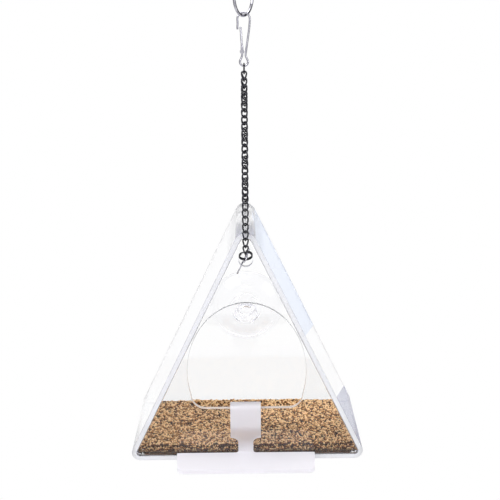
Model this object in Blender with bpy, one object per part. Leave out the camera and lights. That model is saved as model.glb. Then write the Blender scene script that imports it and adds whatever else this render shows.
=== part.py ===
# Window bird feeder: a clear three-sided house that hangs on two legs of curb chain,
# with a frosted perch hooked over the sill and a suction cup in the back panel.
# Metres, +Z up, +X to the right, the opening faces -Y.
# The origin is where the feeder hangs: the top of the hanger ring, on the inside.
import math

import bmesh
import bpy
from mathutils import Matrix, Vector

# House: one bent sheet closed by two flat panels
SHEET = 0.003               # thickness of the clear sheet
FLOOR_SPAN = 0.158          # floor from corner to corner, before the corners are rounded
RIDGE_RISE = 0.164          # floor to ridge, before the ridge is rounded
HOUSE_DEPTH = 0.075         # front face to back face
CORNER_RADIUS = 0.0055      # outside of the two floor bends
RIDGE_RADIUS = 0.007        # outside of the ridge bend
SEAT_GAP = 0.0003           # between pieces that touch
HOLE_RADIUS = 0.0044        # chain hole
HOLE_BELOW_RIDGE = 0.0172   # chain hole's centre, under the top of the ridge

# Opening in the front panel: an oval with a level sill
OPENING_MARGIN = 0.0010     # narrowest rim of the panel beside the oval
OPENING_MIDDLE = 0.062      # height of its widest line over the floor's underside
OPENING_RISE = 0.0475       # widest line to the top
SILL_HEIGHT = 0.0370        # sill over the floor's underside
SILL_CORNER = 0.009         # radius where the sill meets the sides

# Keyhole in the back panel: the cup's head goes through the round part
KEY_HEIGHT = 0.0776         # round part's centre over the floor's underside
KEY_RADIUS = 0.0103
SLOT_HALF_WIDTH = 0.0034
SLOT_TOP = 0.0170           # end of the slot over the round part's centre

# Suction cup
CUP_DROP = 0.0017           # cup's centre under the round part's centre
HEAD_RADIUS = 0.0079
HEAD_THICKNESS = 0.0042
NECK_RADIUS = 0.0029
FLANGE_RADIUS = 0.0125      # flat shoulder that bears on the panel
FLANGE_THICKNESS = 0.0022
CUP_RADIUS = 0.0262
CUP_HEIGHT = 0.0115         # panel to window
CUP_WALL = 0.0016
RIM_WIDTH = 0.0024
CUP_CROWN = 0.0030          # rubber over the flange, in the middle of the dish
CUP_EDGE_SHARE = 0.72       # where the dish turns out to its rim, as a share of its height

# Perch: one strip of frosted sheet, hooked over the sill and bent out to a bar
PERCH_SHEET = 0.0027
PERCH_SHIFT = -0.0010       # its middle, to the right of the panel's
PERCH_HOOK_WIDTH = 0.0197
PERCH_NECK_WIDTH = 0.0098
PERCH_BAR_WIDTH = 0.0896
PERCH_BAR_DEPTH = 0.0215
PERCH_BAR_TAPER = 0.0012    # each end draws in by this towards the front
PERCH_INNER_FLAP = 0.0165   # how far the hook reaches down behind the panel
PERCH_OUTER_FLAP = 0.0195   # wide part of the strip in front, below the sill
PERCH_SHOULDER = 0.0030     # length over which the strip narrows to its neck
PERCH_BAR_TOP = 0.0073      # top of the bar over the floor's underside
PERCH_HOOK_BEND = 0.0003    # inside radius of the two bends over the sill
PERCH_BEND = 0.0006         # inside radius of the bend out to the bar
PERCH_CORNER = 0.0045       # bar's two front corners
PERCH_BACK_CORNER = 0.0008  # bar's two back corners
PERCH_FILLET = 0.0014       # how far the neck flares where it meets the bar

# Seed on the floor, as one settled layer
SEED_DEPTH = 0.0068         # thickness of the layer in the middle
SEED_EDGE = 0.0058          # thickness at its edges
SEED_BACK_MARGIN = 0.0045   # bare floor left behind it
SEED_TAPER = 0.0085         # how much each side draws in towards the back
SEED_SHOULDER = 0.0024      # width of the sloping border
SEED_CORNER = 0.0030        # rounding of its corners, seen from above
SEED_WAVE = 0.0130          # crest to crest of the low waves on its top
SEED_WAVE_RISE = 0.0009     # trough to crest
SEED_WAVE_TURN = 20         # degrees that the rows of waves are turned from the panels

# Curb chain
LINKS_PER_LEG = 25
FIRST_BRAZED_LINK = 22      # from here up the links of a leg are joined two by two
LINK_PITCH = 0.00443
LINK_WIRE = 0.0010          # wire diameter
LINK_HALF_WIDTH = 0.00165   # to the wire's centre
LINK_TWIST = 45             # each end is turned this far, in degrees, out of the link's middle
LINK_SWELL = 55             # further turn of the links, in degrees, in the middle of a leg
LINK_CHORDS = 5             # flats round each end of a link
BEARING_GAP = 0.0003        # left between wires that bear on each other
BRAZE_BITE = 0.00025        # how far joined wires sink into each other
CENTRE_LINK_HALF_WIDTH = 0.0026
CENTRE_LINK_HALF_LENGTH = 0.0031
LEG_SPREAD = 0.00125        # the legs hang this far each side of the centre link's middle
FOOT_SEAT = 0.0002          # rise of the lowest link's bend from its middle on the split ring

# Split rings and toggles, which fix the chain to the panels
RING_RADIUS = 0.0039        # to the wire's centre
RING_WIRE = 0.0008
RING_TURN_PITCH = 0.0010    # between the two turns of a ring
RING_STEPS = 16             # flats in one turn
RING_SPLIT = 135            # where the wire starts, in degrees round the ring
RING_TOP_OUT = 0.0065       # ring's top, in front of its panel
RING_FOOT_OUT = 0.0016      # ring's foot, in front of its panel
TOGGLE_BAR = 0.0010         # bar diameter
TOGGLE_SHORT_ARM = 0.0055
TOGGLE_LONG_ARM = 0.0123
TOGGLE_LEAN = 26            # degrees from upright, along the left wall
TOGGLE_WIRE = 0.0009
TOGGLE_LOOP_HALF_WIDTH = 0.0023

# Snap hook, flat in the plane of the panels
HOOK_WIRE = 0.0014
EYE_RADIUS = 0.0025
EYE_OPENING = 55            # degrees each side of upright where the eye's bend ends
HOOK_TOP_RADIUS = 0.0038
HOOK_LENGTH = 0.0256        # eye's centre to the centre of the top bend
HOOK_WAIST_HEIGHT = 0.0044  # narrowest place, over the eye's centre
HOOK_WAIST_HALF_WIDTH = 0.00105
HOOK_TIP_HEIGHT = 0.0194
HOOK_TIP_REACH = 0.0038     # tip's centre, left of the middle
BOW_LEFT = 200              # where the top bend ends at the tip's side, in degrees
BOW_RIGHT = -10             # where it ends at the spine
PIVOT_HEIGHT = 0.0062       # gate's pin over the eye's centre
PIVOT_REACH = 0.0011        # gate's pin, left of the middle
PIVOT_BOSS = 0.0014         # radius of the flat end that holds the pin
PIVOT_PIN = 0.0004          # pin radius
GATE_WIRE = 0.0013
GATE_TOP_HEIGHT = 0.0209
GATE_TOP_REACH = 0.0019
CHEEK_THICKNESS = 0.0005
CHEEK_HALF_WIDTH = 0.0009
CHEEK_TAIL = 0.0010         # cheek below its pin
BRIDGE_HEIGHT = 0.0013      # block that joins the cheeks, over the boss

# Hanger ring
HANGER_RADIUS = 0.0110      # to the wire's centre
HANGER_WIRE = 0.0020
HANGER_TURN = 60            # its plane, in degrees from the panels'

# Facets
BEND_STEPS = 6
RIDGE_STEPS = 8
HOLE_STEPS = 24
OPENING_STEPS = 40
BOW_STEPS = 14
EYE_STEPS = 18
FLARE_STEPS = 4
HANGER_STEPS = 32
CUT_OVERRUN = 0.002

# Places worked down from the hang point at z = 0
HANGER_CENTRE = -(HANGER_RADIUS - HANGER_WIRE / 2)
HANGER_FOOT = HANGER_CENTRE - HANGER_RADIUS
HOOK_TOP_CENTRE = HANGER_FOOT + HANGER_WIRE / 2 + BEARING_GAP + HOOK_WIRE / 2 - HOOK_TOP_RADIUS
EYE_CENTRE = HOOK_TOP_CENTRE - HOOK_LENGTH
EYE_FOOT = EYE_CENTRE - EYE_RADIUS
CENTRE_LINK = EYE_FOOT + HOOK_WIRE / 2 + BEARING_GAP + LINK_WIRE / 2 - CENTRE_LINK_HALF_LENGTH
CENTRE_ARC = CENTRE_LINK - CENTRE_LINK_HALF_LENGTH + CENTRE_LINK_HALF_WIDTH
GRIP_HEIGHT = CENTRE_ARC - math.sqrt(CENTRE_LINK_HALF_WIDTH**2 - LEG_SPREAD**2)

BEARING = LINK_WIRE + BEARING_GAP
LINK_HALF_LENGTH = (LINK_PITCH + BEARING) / 2
BRAZE_STEP = BEARING_GAP + BRAZE_BITE
BRAZES = (LINKS_PER_LEG - FIRST_BRAZED_LINK + 1) // 2
LEG_LENGTH = LINKS_PER_LEG * LINK_PITCH + BRAZES * BRAZE_STEP - LINK_HALF_WIDTH + FOOT_SEAT
LEG_LEAN = math.asin((HOUSE_DEPTH / 2 + RING_TOP_OUT - LEG_SPREAD) / LEG_LENGTH)
RING_TOP = GRIP_HEIGHT - LEG_LENGTH * math.cos(LEG_LEAN)
RING_TILT = math.asin((RING_TOP_OUT - RING_FOOT_OUT) / (2 * RING_RADIUS))
RING_FOOT = RING_TOP - 2 * RING_RADIUS * math.cos(RING_TILT)
RING_THICKNESS = RING_WIRE + RING_TURN_PITCH
TOGGLE_COS = math.cos(math.radians(TOGGLE_LEAN))
TOGGLE_SIN = math.sin(math.radians(TOGGLE_LEAN))
TOGGLE_CENTRE = (RING_FOOT - RING_THICKNESS / 2 - SEAT_GAP - TOGGLE_WIRE / 2
                 + TOGGLE_LOOP_HALF_WIDTH * TOGGLE_COS)
LOOP_REACH = HOLE_RADIUS - SEAT_GAP - TOGGLE_WIRE / 2
LOOP_RISE = math.sqrt(LOOP_REACH**2 - (TOGGLE_LOOP_HALF_WIDTH * TOGGLE_SIN)**2)
HOLE_HEIGHT = TOGGLE_CENTRE + TOGGLE_LOOP_HALF_WIDTH * TOGGLE_COS - LOOP_RISE

RIDGE_ANGLE = math.atan2(FLOOR_SPAN / 2, RIDGE_RISE)
FLOOR_ANGLE = math.pi / 2 - RIDGE_ANGLE
PANEL_EDGE = FLOOR_SPAN / 2 * math.cos(RIDGE_ANGLE) - SHEET - SEAT_GAP
OVAL_REACH = PANEL_EDGE - OPENING_MARGIN - OPENING_MIDDLE * math.sin(RIDGE_ANGLE)
OVAL_LIFT = OPENING_RISE * math.sin(RIDGE_ANGLE)
OPENING_HALF_WIDTH = math.sqrt(OVAL_REACH**2 - OVAL_LIFT**2) / math.cos(RIDGE_ANGLE)
RIDGE_BEND_HEIGHT = RIDGE_RISE - RIDGE_RADIUS / math.sin(RIDGE_ANGLE)
HOUSE_HEIGHT = RIDGE_BEND_HEIGHT + RIDGE_RADIUS
FLOOR = HOLE_HEIGHT + HOLE_BELOW_RIDGE - HOUSE_HEIGHT
FRONT = -HOUSE_DEPTH / 2
BACK = HOUSE_DEPTH / 2


def clear_scene():
    for thing in list(bpy.data.objects):
        bpy.data.objects.remove(thing)


def finish(name, colour, roughness, metallic=0.0, clear=0.0):
    material = bpy.data.materials.new(name)
    material.use_nodes = True
    shader = material.node_tree.nodes["Principled BSDF"]
    shader.inputs["Base Color"].default_value = (*colour, 1.0)
    shader.inputs["Roughness"].default_value = roughness
    shader.inputs["Metallic"].default_value = metallic
    shader.inputs["Transmission Weight"].default_value = clear
    return material


def place(name, mesh, material, sharp=35):
    mesh.name = name
    mesh.materials.clear()
    mesh.materials.append(material)
    mesh.shade_smooth()
    mesh.set_sharp_from_angle(angle=math.radians(sharp))
    piece = bpy.data.objects.new(name, mesh)
    bpy.context.collection.objects.link(piece)
    return piece


def mesh_from(shape):
    bmesh.ops.recalc_face_normals(shape, faces=shape.faces)
    mesh = bpy.data.meshes.new("shape")
    shape.to_mesh(mesh)
    shape.free()
    return mesh


def put_on_axis(piece, axis_point):
    # The piece's origin goes to its joint, and its shape stays where it is
    piece.data.transform(Matrix.Translation(-Vector(axis_point)))
    piece.location = axis_point


def wire_mesh(points, radius, closed=False, sides=6):
    # A round wire along the points, as a bevelled curve turned into a mesh
    curve = bpy.data.curves.new("wire", "CURVE")
    curve.dimensions = "3D"
    curve.bevel_depth = radius
    curve.bevel_resolution = (sides - 4) // 2
    curve.use_fill_caps = not closed
    spline = curve.splines.new("POLY")
    spline.points.add(len(points) - 1)
    for knot, point in zip(spline.points, points):
        knot.co = (*point, 1.0)
    spline.use_cyclic_u = closed
    guide = bpy.data.objects.new("wire", curve)
    bpy.context.collection.objects.link(guide)
    graph = bpy.context.evaluated_depsgraph_get()
    mesh = bpy.data.meshes.new_from_object(guide.evaluated_get(graph))
    bpy.data.objects.remove(guide)
    return mesh


def arc(centre, radius, start, end, steps):
    # Points on an arc in a plane, angles in radians
    points = []
    for step in range(steps + 1):
        angle = start + (end - start) * step / steps
        points.append((centre[0] + radius * math.cos(angle), centre[1] + radius * math.sin(angle)))
    return points


def bend(start, pull_start, pull_end, end, steps):
    # Points on a cubic curve, without its two ends
    points = []
    for step in range(1, steps):
        t = step / steps
        weights = ((1 - t)**3, 3 * t * (1 - t)**2, 3 * t**2 * (1 - t), t**3)
        corners = (start, pull_start, pull_end, end)
        points.append(tuple(sum(w * c[axis] for w, c in zip(weights, corners)) for axis in range(2)))
    return points


def plate_mesh(outline, near, far):
    # A flat sheet in the XZ plane, from y = near to y = far
    shape = bmesh.new()
    rim = [shape.verts.new((x, near, z)) for x, z in outline]
    face = shape.faces.new(rim)
    grown = bmesh.ops.extrude_face_region(shape, geom=[face])
    moved = [item for item in grown["geom"] if isinstance(item, bmesh.types.BMVert)]
    bmesh.ops.translate(shape, vec=(0, far - near, 0), verts=moved)
    return mesh_from(shape)


def helper(name, mesh):
    # A shape that is only added to or cut from another piece
    piece = bpy.data.objects.new(name, mesh)
    bpy.context.collection.objects.link(piece)
    piece.hide_render = True
    piece.display_type = "WIRE"
    return piece


def combine(piece, other, operation):
    modifier = piece.modifiers.new(other.name, "BOOLEAN")
    modifier.operation = operation
    modifier.solver = "EXACT"
    modifier.object = other


def house_outline(inset):
    # The house seen from the front, this far inside the sheet's outer face
    corner_out = FLOOR_SPAN / 2 - CORNER_RADIUS / math.tan(FLOOR_ANGLE / 2)
    corner = CORNER_RADIUS - inset
    ridge = RIDGE_RADIUS - inset
    right = arc((corner_out, FLOOR + CORNER_RADIUS), corner, -math.pi / 2, RIDGE_ANGLE, BEND_STEPS)
    top = arc((0, FLOOR + RIDGE_BEND_HEIGHT), ridge, RIDGE_ANGLE, math.pi - RIDGE_ANGLE, RIDGE_STEPS)
    left = arc((-corner_out, FLOOR + CORNER_RADIUS), corner, math.pi - RIDGE_ANGLE, math.pi * 1.5,
               BEND_STEPS)
    return right + top + left


def build_house_shell(material):
    # One sheet bent into floor and two walls, open at both ends
    shape = bmesh.new()
    outer = [shape.verts.new((x, FRONT, z)) for x, z in house_outline(0)]
    inner = [shape.verts.new((x, FRONT, z)) for x, z in house_outline(SHEET)]
    faces = []
    for index, corner in enumerate(outer):
        following = (index + 1) % len(outer)
        faces.append(shape.faces.new((corner, outer[following], inner[following], inner[index])))
    grown = bmesh.ops.extrude_face_region(shape, geom=faces)
    moved = [item for item in grown["geom"] if isinstance(item, bmesh.types.BMVert)]
    bmesh.ops.translate(shape, vec=(0, HOUSE_DEPTH, 0), verts=moved)
    return place("house_shell", mesh_from(shape), material)


def opening_outline():
    # The oval down to where the sill's rounded corners take over
    middle = FLOOR + OPENING_MIDDLE
    sill = FLOOR + SILL_HEIGHT
    corner_height = sill + SILL_CORNER
    drop = (middle - corner_height) / OPENING_RISE
    start = -math.asin(drop)
    oval = []
    for step in range(OPENING_STEPS + 1):
        angle = start + (math.pi - 2 * start) * step / OPENING_STEPS
        oval.append((OPENING_HALF_WIDTH * math.cos(angle), middle + OPENING_RISE * math.sin(angle)))
    corner_out = oval[0][0] - SILL_CORNER
    left = arc((-corner_out, corner_height), SILL_CORNER, math.pi, math.pi * 1.5, BEND_STEPS)
    right = arc((corner_out, corner_height), SILL_CORNER, -math.pi / 2, 0, BEND_STEPS)
    return oval + left[1:] + right[:-1]


def keyhole_outline():
    centre = (0, FLOOR + KEY_HEIGHT)
    meeting = math.acos(SLOT_HALF_WIDTH / KEY_RADIUS)
    round_part = arc(centre, KEY_RADIUS, math.pi - meeting, 2 * math.pi + meeting, HOLE_STEPS)
    top = centre[1] + SLOT_TOP
    return round_part + [(SLOT_HALF_WIDTH, top), (-SLOT_HALF_WIDTH, top)]


def cut_sheet(panel, name, outline, near):
    cutter = helper(name, plate_mesh(outline, near - CUT_OVERRUN, near + SHEET + CUT_OVERRUN))
    combine(panel, cutter, "DIFFERENCE")


def chain_hole_outline():
    around = arc((0, HOLE_HEIGHT), HOLE_RADIUS, 0, 2 * math.pi, HOLE_STEPS)
    return around[:-1]


def build_front_panel(material):
    outline = house_outline(SHEET + SEAT_GAP)
    panel = place("front_panel", plate_mesh(outline, FRONT, FRONT + SHEET), material)
    cut_sheet(panel, "opening_cutter", opening_outline(), FRONT)
    cut_sheet(panel, "front_hole_cutter", chain_hole_outline(), FRONT)
    return panel


def build_back_panel(material):
    outline = house_outline(SHEET + SEAT_GAP)
    panel = place("back_panel", plate_mesh(outline, BACK - SHEET, BACK), material)
    cut_sheet(panel, "keyhole_cutter", keyhole_outline(), BACK - SHEET)
    cut_sheet(panel, "back_hole_cutter", chain_hole_outline(), BACK - SHEET)
    return panel


def turned_mesh(profile, centre_height, segments):
    # A profile of (radius, y) turned about an axis along Y
    shape = bmesh.new()
    verts = [shape.verts.new((radius, y, 0)) for radius, y in profile]
    edges = [shape.edges.new(pair) for pair in zip(verts, verts[1:])]
    bmesh.ops.spin(shape, geom=verts + edges, cent=(0, 0, 0), axis=(0, 1, 0), angle=2 * math.pi,
                   steps=segments, use_merge=True)
    bmesh.ops.remove_doubles(shape, verts=shape.verts, dist=SEAT_GAP / 100)
    bmesh.ops.translate(shape, vec=(0, 0, centre_height), verts=shape.verts)
    return mesh_from(shape)


def build_suction_cup(material):
    # Mushroom head inside the house, neck through the keyhole, dish towards the window
    height = FLOOR + KEY_HEIGHT - CUP_DROP
    head = BACK - SHEET - SEAT_GAP
    flange = BACK + SEAT_GAP
    rim = flange + CUP_HEIGHT
    edge = flange + CUP_HEIGHT * CUP_EDGE_SHARE
    profile = [(0, head - HEAD_THICKNESS)]
    dome = arc((0, head - HEAD_THICKNESS / 2), HEAD_RADIUS, -math.pi / 2, 0, BEND_STEPS)
    for radius, y in dome[1:]:
        profile.append((radius, head - HEAD_THICKNESS / 2 + (y - head + HEAD_THICKNESS / 2)
                        * HEAD_THICKNESS / (2 * HEAD_RADIUS)))
    profile += [
        (HEAD_RADIUS, head),
        (NECK_RADIUS, head),
        (NECK_RADIUS, flange),
        (FLANGE_RADIUS, flange),
        (FLANGE_RADIUS, flange + FLANGE_THICKNESS),
    ]
    slope_start = (FLANGE_RADIUS, flange + FLANGE_THICKNESS)
    profile += bend(slope_start, ((FLANGE_RADIUS + CUP_RADIUS) / 2, slope_start[1]),
                    (CUP_RADIUS - RIM_WIDTH, edge - CUP_WALL), (CUP_RADIUS, edge), BEND_STEPS)
    profile += [(CUP_RADIUS, edge), (CUP_RADIUS, rim), (CUP_RADIUS - RIM_WIDTH, rim)]
    hollow = (0, slope_start[1] + CUP_CROWN)
    profile += bend((CUP_RADIUS - RIM_WIDTH, rim), (CUP_RADIUS - RIM_WIDTH * 2, edge + CUP_WALL),
                    (FLANGE_RADIUS, hollow[1]), hollow, BEND_STEPS)
    profile.append(hollow)
    cup = place("suction_cup", turned_mesh(profile, height, HOLE_STEPS), material)
    put_on_axis(cup, (0, BACK, height))
    return cup


def perch_path():
    # The strip's middle line in (y, z) with its half width, from the inner flap to the bar's edge
    half = PERCH_SHEET / 2
    outside = FRONT - SEAT_GAP - half
    inside = FRONT + SHEET + SEAT_GAP + half
    crown_radius = PERCH_HOOK_BEND + half
    top = FLOOR + SILL_HEIGHT + SEAT_GAP + half
    hook = PERCH_HOOK_WIDTH / 2
    neck = PERCH_NECK_WIDTH / 2
    bar = PERCH_BAR_WIDTH / 2
    path = [(inside, top - half - SEAT_GAP - PERCH_INNER_FLAP, hook)]
    crown = top - crown_radius
    bends = ((inside - crown_radius, 0, math.pi / 2), (outside + crown_radius, math.pi / 2, math.pi))
    for y, start, end in bends:
        path += [(*point, hook) for point in arc((y, crown), crown_radius, start, end, BEND_STEPS)]
    flap_foot = FLOOR + SILL_HEIGHT - PERCH_OUTER_FLAP
    path.append((outside, flap_foot, hook))
    for step in range(1, BEND_STEPS + 1):
        turn = math.pi / 2 * step / BEND_STEPS
        width = neck + (hook - neck) * (1 - math.sin(turn))
        path.append((outside, flap_foot - PERCH_SHOULDER * (1 - math.cos(turn)), width))
    bar_line = FLOOR + PERCH_BAR_TOP - half
    bend_radius = PERCH_BEND + half
    turn_centre = (outside - bend_radius, bar_line + bend_radius)
    for step, point in enumerate(arc(turn_centre, bend_radius, 0, -math.pi / 2, BEND_STEPS)):
        path.append((*point, neck + PERCH_FILLET * (1 - math.cos(math.pi / 2 * step / BEND_STEPS))))
    bar_back = turn_centre[0] - SEAT_GAP
    for step in range(BEND_STEPS + 1):
        turn = math.pi / 2 * step / BEND_STEPS
        width = bar - PERCH_BACK_CORNER * (1 - math.sin(turn))
        path.append((bar_back - PERCH_BACK_CORNER * (1 - math.cos(turn)), bar_line, width))
    bar_front = bar_back - PERCH_BAR_DEPTH
    for step in range(BEND_STEPS + 1):
        turn = math.pi / 2 * step / BEND_STEPS
        width = bar - PERCH_BAR_TAPER - PERCH_CORNER * (1 - math.cos(turn))
        path.append((bar_front + PERCH_CORNER * (1 - math.sin(turn)), bar_line, width))
    return path


def build_perch(material):
    path = perch_path()
    shape = bmesh.new()
    sections = []
    for index, (y, z, width) in enumerate(path):
        before = path[max(index - 1, 0)]
        after = path[min(index + 1, len(path) - 1)]
        along = Vector((after[0] - before[0], after[1] - before[1])).normalized()
        across = Vector((-along.y, along.x)) * PERCH_SHEET / 2
        corners = ((-width, 1), (width, 1), (width, -1), (-width, -1))
        sections.append([shape.verts.new((PERCH_SHIFT + x, y + side * across.x, z + side * across.y))
                         for x, side in corners])
    shape.faces.new(sections[0])
    shape.faces.new(reversed(sections[-1]))
    for this, following in zip(sections, sections[1:]):
        for side in range(4):
            other = (side + 1) % 4
            shape.faces.new((this[side], this[other], following[other], following[side]))
    perch = place("perch", mesh_from(shape), material)
    put_on_axis(perch, (PERCH_SHIFT, FRONT, FLOOR + SILL_HEIGHT))
    return perch


def seed_ring(shape, height, inset):
    # The layer's outline at a height over the floor sheet, drawn in by inset
    wall_in = (SHEET + height) * math.tan(RIDGE_ANGLE) + (SHEET + SEAT_GAP) / math.cos(RIDGE_ANGLE)
    bend_in = CORNER_RADIUS / math.tan(FLOOR_ANGLE / 2)
    front_half = FLOOR_SPAN / 2 - max(wall_in, bend_in) - inset
    back_half = front_half - SEED_TAPER
    front = FRONT + SHEET + SEAT_GAP + inset / 2
    back = BACK - SHEET - SEED_BACK_MARGIN - inset
    corner = SEED_CORNER
    near = SHEET / 2
    outline = [(front_half - near, front), (front_half, front + near)]
    outline += arc((back_half - corner, back - corner), corner, 0, math.pi / 2, BEND_STEPS)
    mirrored = [(-x, y) for x, y in reversed(outline)]
    level = FLOOR + SHEET + SEAT_GAP + height
    return [shape.verts.new((x, y, level)) for x, y in outline + mirrored]


def raise_waves(shape, level):
    # The top is cut in square cells half a wave wide, whose inner corners then rise and fall
    turn = math.radians(SEED_WAVE_TURN)
    rows = (Vector((math.cos(turn), math.sin(turn), 0)), Vector((-math.sin(turn), math.cos(turn), 0)))
    reach = int(FLOOR_SPAN / SEED_WAVE)
    for across in rows:
        for step in range(-reach, reach + 1):
            top = flat_faces(shape, level)
            edges = {edge for face in top for edge in face.edges}
            corners = {corner for face in top for corner in face.verts}
            bmesh.ops.bisect_plane(shape, geom=top + list(edges) + list(corners),
                                   plane_co=across * (step * SEED_WAVE / 2), plane_no=across)
    top = set(flat_faces(shape, level))
    inner = [corner for corner in shape.verts if corner.link_faces and top.issuperset(corner.link_faces)]
    bmesh.ops.triangulate(shape, faces=list(top))
    for corner in inner:
        waves = [math.cos(2 * math.pi * corner.co.dot(across) / SEED_WAVE) for across in rows]
        corner.co.z += SEED_WAVE_RISE / 4 * sum(waves)


def flat_faces(shape, level):
    # Every face that lies at this height
    return [face for face in shape.faces
            if all(abs(corner.co.z - level) < SEAT_GAP / 10 for corner in face.verts)]


def build_seed_fill(material):
    shape = bmesh.new()
    rings = [
        seed_ring(shape, 0, 0),
        seed_ring(shape, SEED_EDGE, SEAT_GAP),
        seed_ring(shape, (SEED_EDGE + SEED_DEPTH) / 2, SEED_SHOULDER / 3),
        seed_ring(shape, SEED_DEPTH, SEED_SHOULDER),
    ]
    shape.faces.new(reversed(rings[0]))
    shape.faces.new(rings[-1])
    for lower, upper in zip(rings, rings[1:]):
        for index, corner in enumerate(lower):
            following = (index + 1) % len(lower)
            shape.faces.new((corner, lower[following], upper[following], upper[index]))
    raise_waves(shape, FLOOR + SHEET + SEAT_GAP + SEED_DEPTH)
    return place("seed_fill", mesh_from(shape), material, sharp=60)


def link_points(half_length, half_width, twist):
    # A wire oval along Z whose ends are turned by the twist, the top one way and the foot the other
    radius = half_width / math.cos(math.pi / 2 / LINK_CHORDS)
    straight = half_length - half_width
    flat = arc((0, straight), radius, 0, math.pi, LINK_CHORDS)
    flat += arc((0, -straight), radius, math.pi, 2 * math.pi, LINK_CHORDS)
    points = []
    for across, along in flat:
        turn = math.radians(twist) * along / half_length
        points.append(Vector((across * math.cos(turn), across * math.sin(turn), along)))
    return points


def to_side(mesh, side):
    # Everything on the chain's legs is made for the front; the back leg is the same turned round
    if side > 0:
        mesh.transform(Matrix.Rotation(math.pi, 4, "Z"))
    return mesh


def link_mesh(index, reach):
    # One link of the front leg, its middle this far up the leg from the split ring's top
    share = index / (LINKS_PER_LEG - 1)
    turn = LINK_SWELL * math.sin(math.pi * share) - LINK_TWIST
    mesh = wire_mesh(link_points(LINK_HALF_LENGTH, LINK_HALF_WIDTH, LINK_TWIST), LINK_WIRE / 2, closed=True)
    up_leg = Vector((0, math.sin(LEG_LEAN), math.cos(LEG_LEAN)))
    foot = Vector((0, FRONT - RING_TOP_OUT, RING_TOP))
    spot = Matrix.Translation(foot + up_leg * reach) @ Matrix.Rotation(-LEG_LEAN, 4, "X")
    mesh.transform(spot @ Matrix.Rotation(math.radians(turn), 4, "Z"))
    return mesh


def build_leg(name, side, material):
    reach = FOOT_SEAT + LINK_HALF_LENGTH - LINK_HALF_WIDTH
    pair = None
    for number in range(1, LINKS_PER_LEG + 1):
        mesh = to_side(link_mesh(number - 1, reach), side)
        if pair is not None:
            combine(pair, helper(f"{name}_link_{number:02d}", mesh), "UNION")
            pair = None
            reach += LINK_PITCH
            continue
        link = place(f"{name}_link_{number:02d}", mesh, material, sharp=70)
        reach += LINK_PITCH
        if number >= FIRST_BRAZED_LINK:
            pair = link
            reach += BRAZE_STEP


def build_centre_link(material):
    oval = link_points(CENTRE_LINK_HALF_LENGTH, CENTRE_LINK_HALF_WIDTH, 0)
    mesh = wire_mesh(oval, LINK_WIRE / 2, closed=True)
    mesh.transform(Matrix.Translation((0, 0, CENTRE_LINK)) @ Matrix.Rotation(math.pi / 2, 4, "Z"))
    link = place("centre_link", mesh, material, sharp=70)
    put_on_axis(link, (0, 0, EYE_FOOT))


def build_split_ring(name, side, material):
    # Two turns of wire side by side, leaning out from the panel
    points = []
    steps = 2 * RING_STEPS - 1
    for step in range(steps):
        angle = 2 * math.pi * step / RING_STEPS + math.radians(RING_SPLIT)
        climb = RING_TURN_PITCH * (step - steps / 2) / RING_STEPS
        points.append(Vector((RING_RADIUS * math.cos(angle), climb, RING_RADIUS * math.sin(angle))))
    mesh = wire_mesh(points, RING_WIRE / 2)
    middle = (0, FRONT - (RING_TOP_OUT + RING_FOOT_OUT) / 2, (RING_TOP + RING_FOOT) / 2)
    mesh.transform(Matrix.Translation(middle) @ Matrix.Rotation(RING_TILT, 4, "X"))
    place(name, to_side(mesh, side), material, sharp=70)


def build_toggle(name, side, material):
    # A bar that lies behind the panel, with a wire loop that comes out through the hole
    bar_in = SHEET + SEAT_GAP + TOGGLE_BAR / 2
    bar = wire_mesh([(0, 0, TOGGLE_SHORT_ARM), (0, 0, -TOGGLE_LONG_ARM)], TOGGLE_BAR / 2, sides=8)
    half = TOGGLE_LOOP_HALF_WIDTH
    loop = [(0, 0, half)]
    end = arc((bar_in + RING_FOOT_OUT, 0), half, math.pi / 2, -math.pi / 2, BEND_STEPS)
    loop += [(0, -out, height) for out, height in end]
    loop.append((0, 0, -half))
    loop_mesh = wire_mesh(loop, TOGGLE_WIRE / 2)
    spot = Matrix.Translation((0, FRONT + bar_in, TOGGLE_CENTRE))
    spot = spot @ Matrix.Rotation(math.radians(TOGGLE_LEAN), 4, "Y")
    bar.transform(spot)
    loop_mesh.transform(spot)
    toggle = place(name, to_side(bar, side), material, sharp=50)
    combine(toggle, helper(f"{name}_loop", to_side(loop_mesh, side)), "UNION")


def upright(points):
    # Points of the hook's own plane, measured from the eye's centre
    return [Vector((x, 0, EYE_CENTRE + z)) for x, z in points]


def cylinder_mesh(centre, radius, half_length, segments):
    # A cylinder along Y
    around = arc(centre, radius, 0, 2 * math.pi, segments)
    return plate_mesh(around[:-1], -half_length, half_length)


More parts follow.
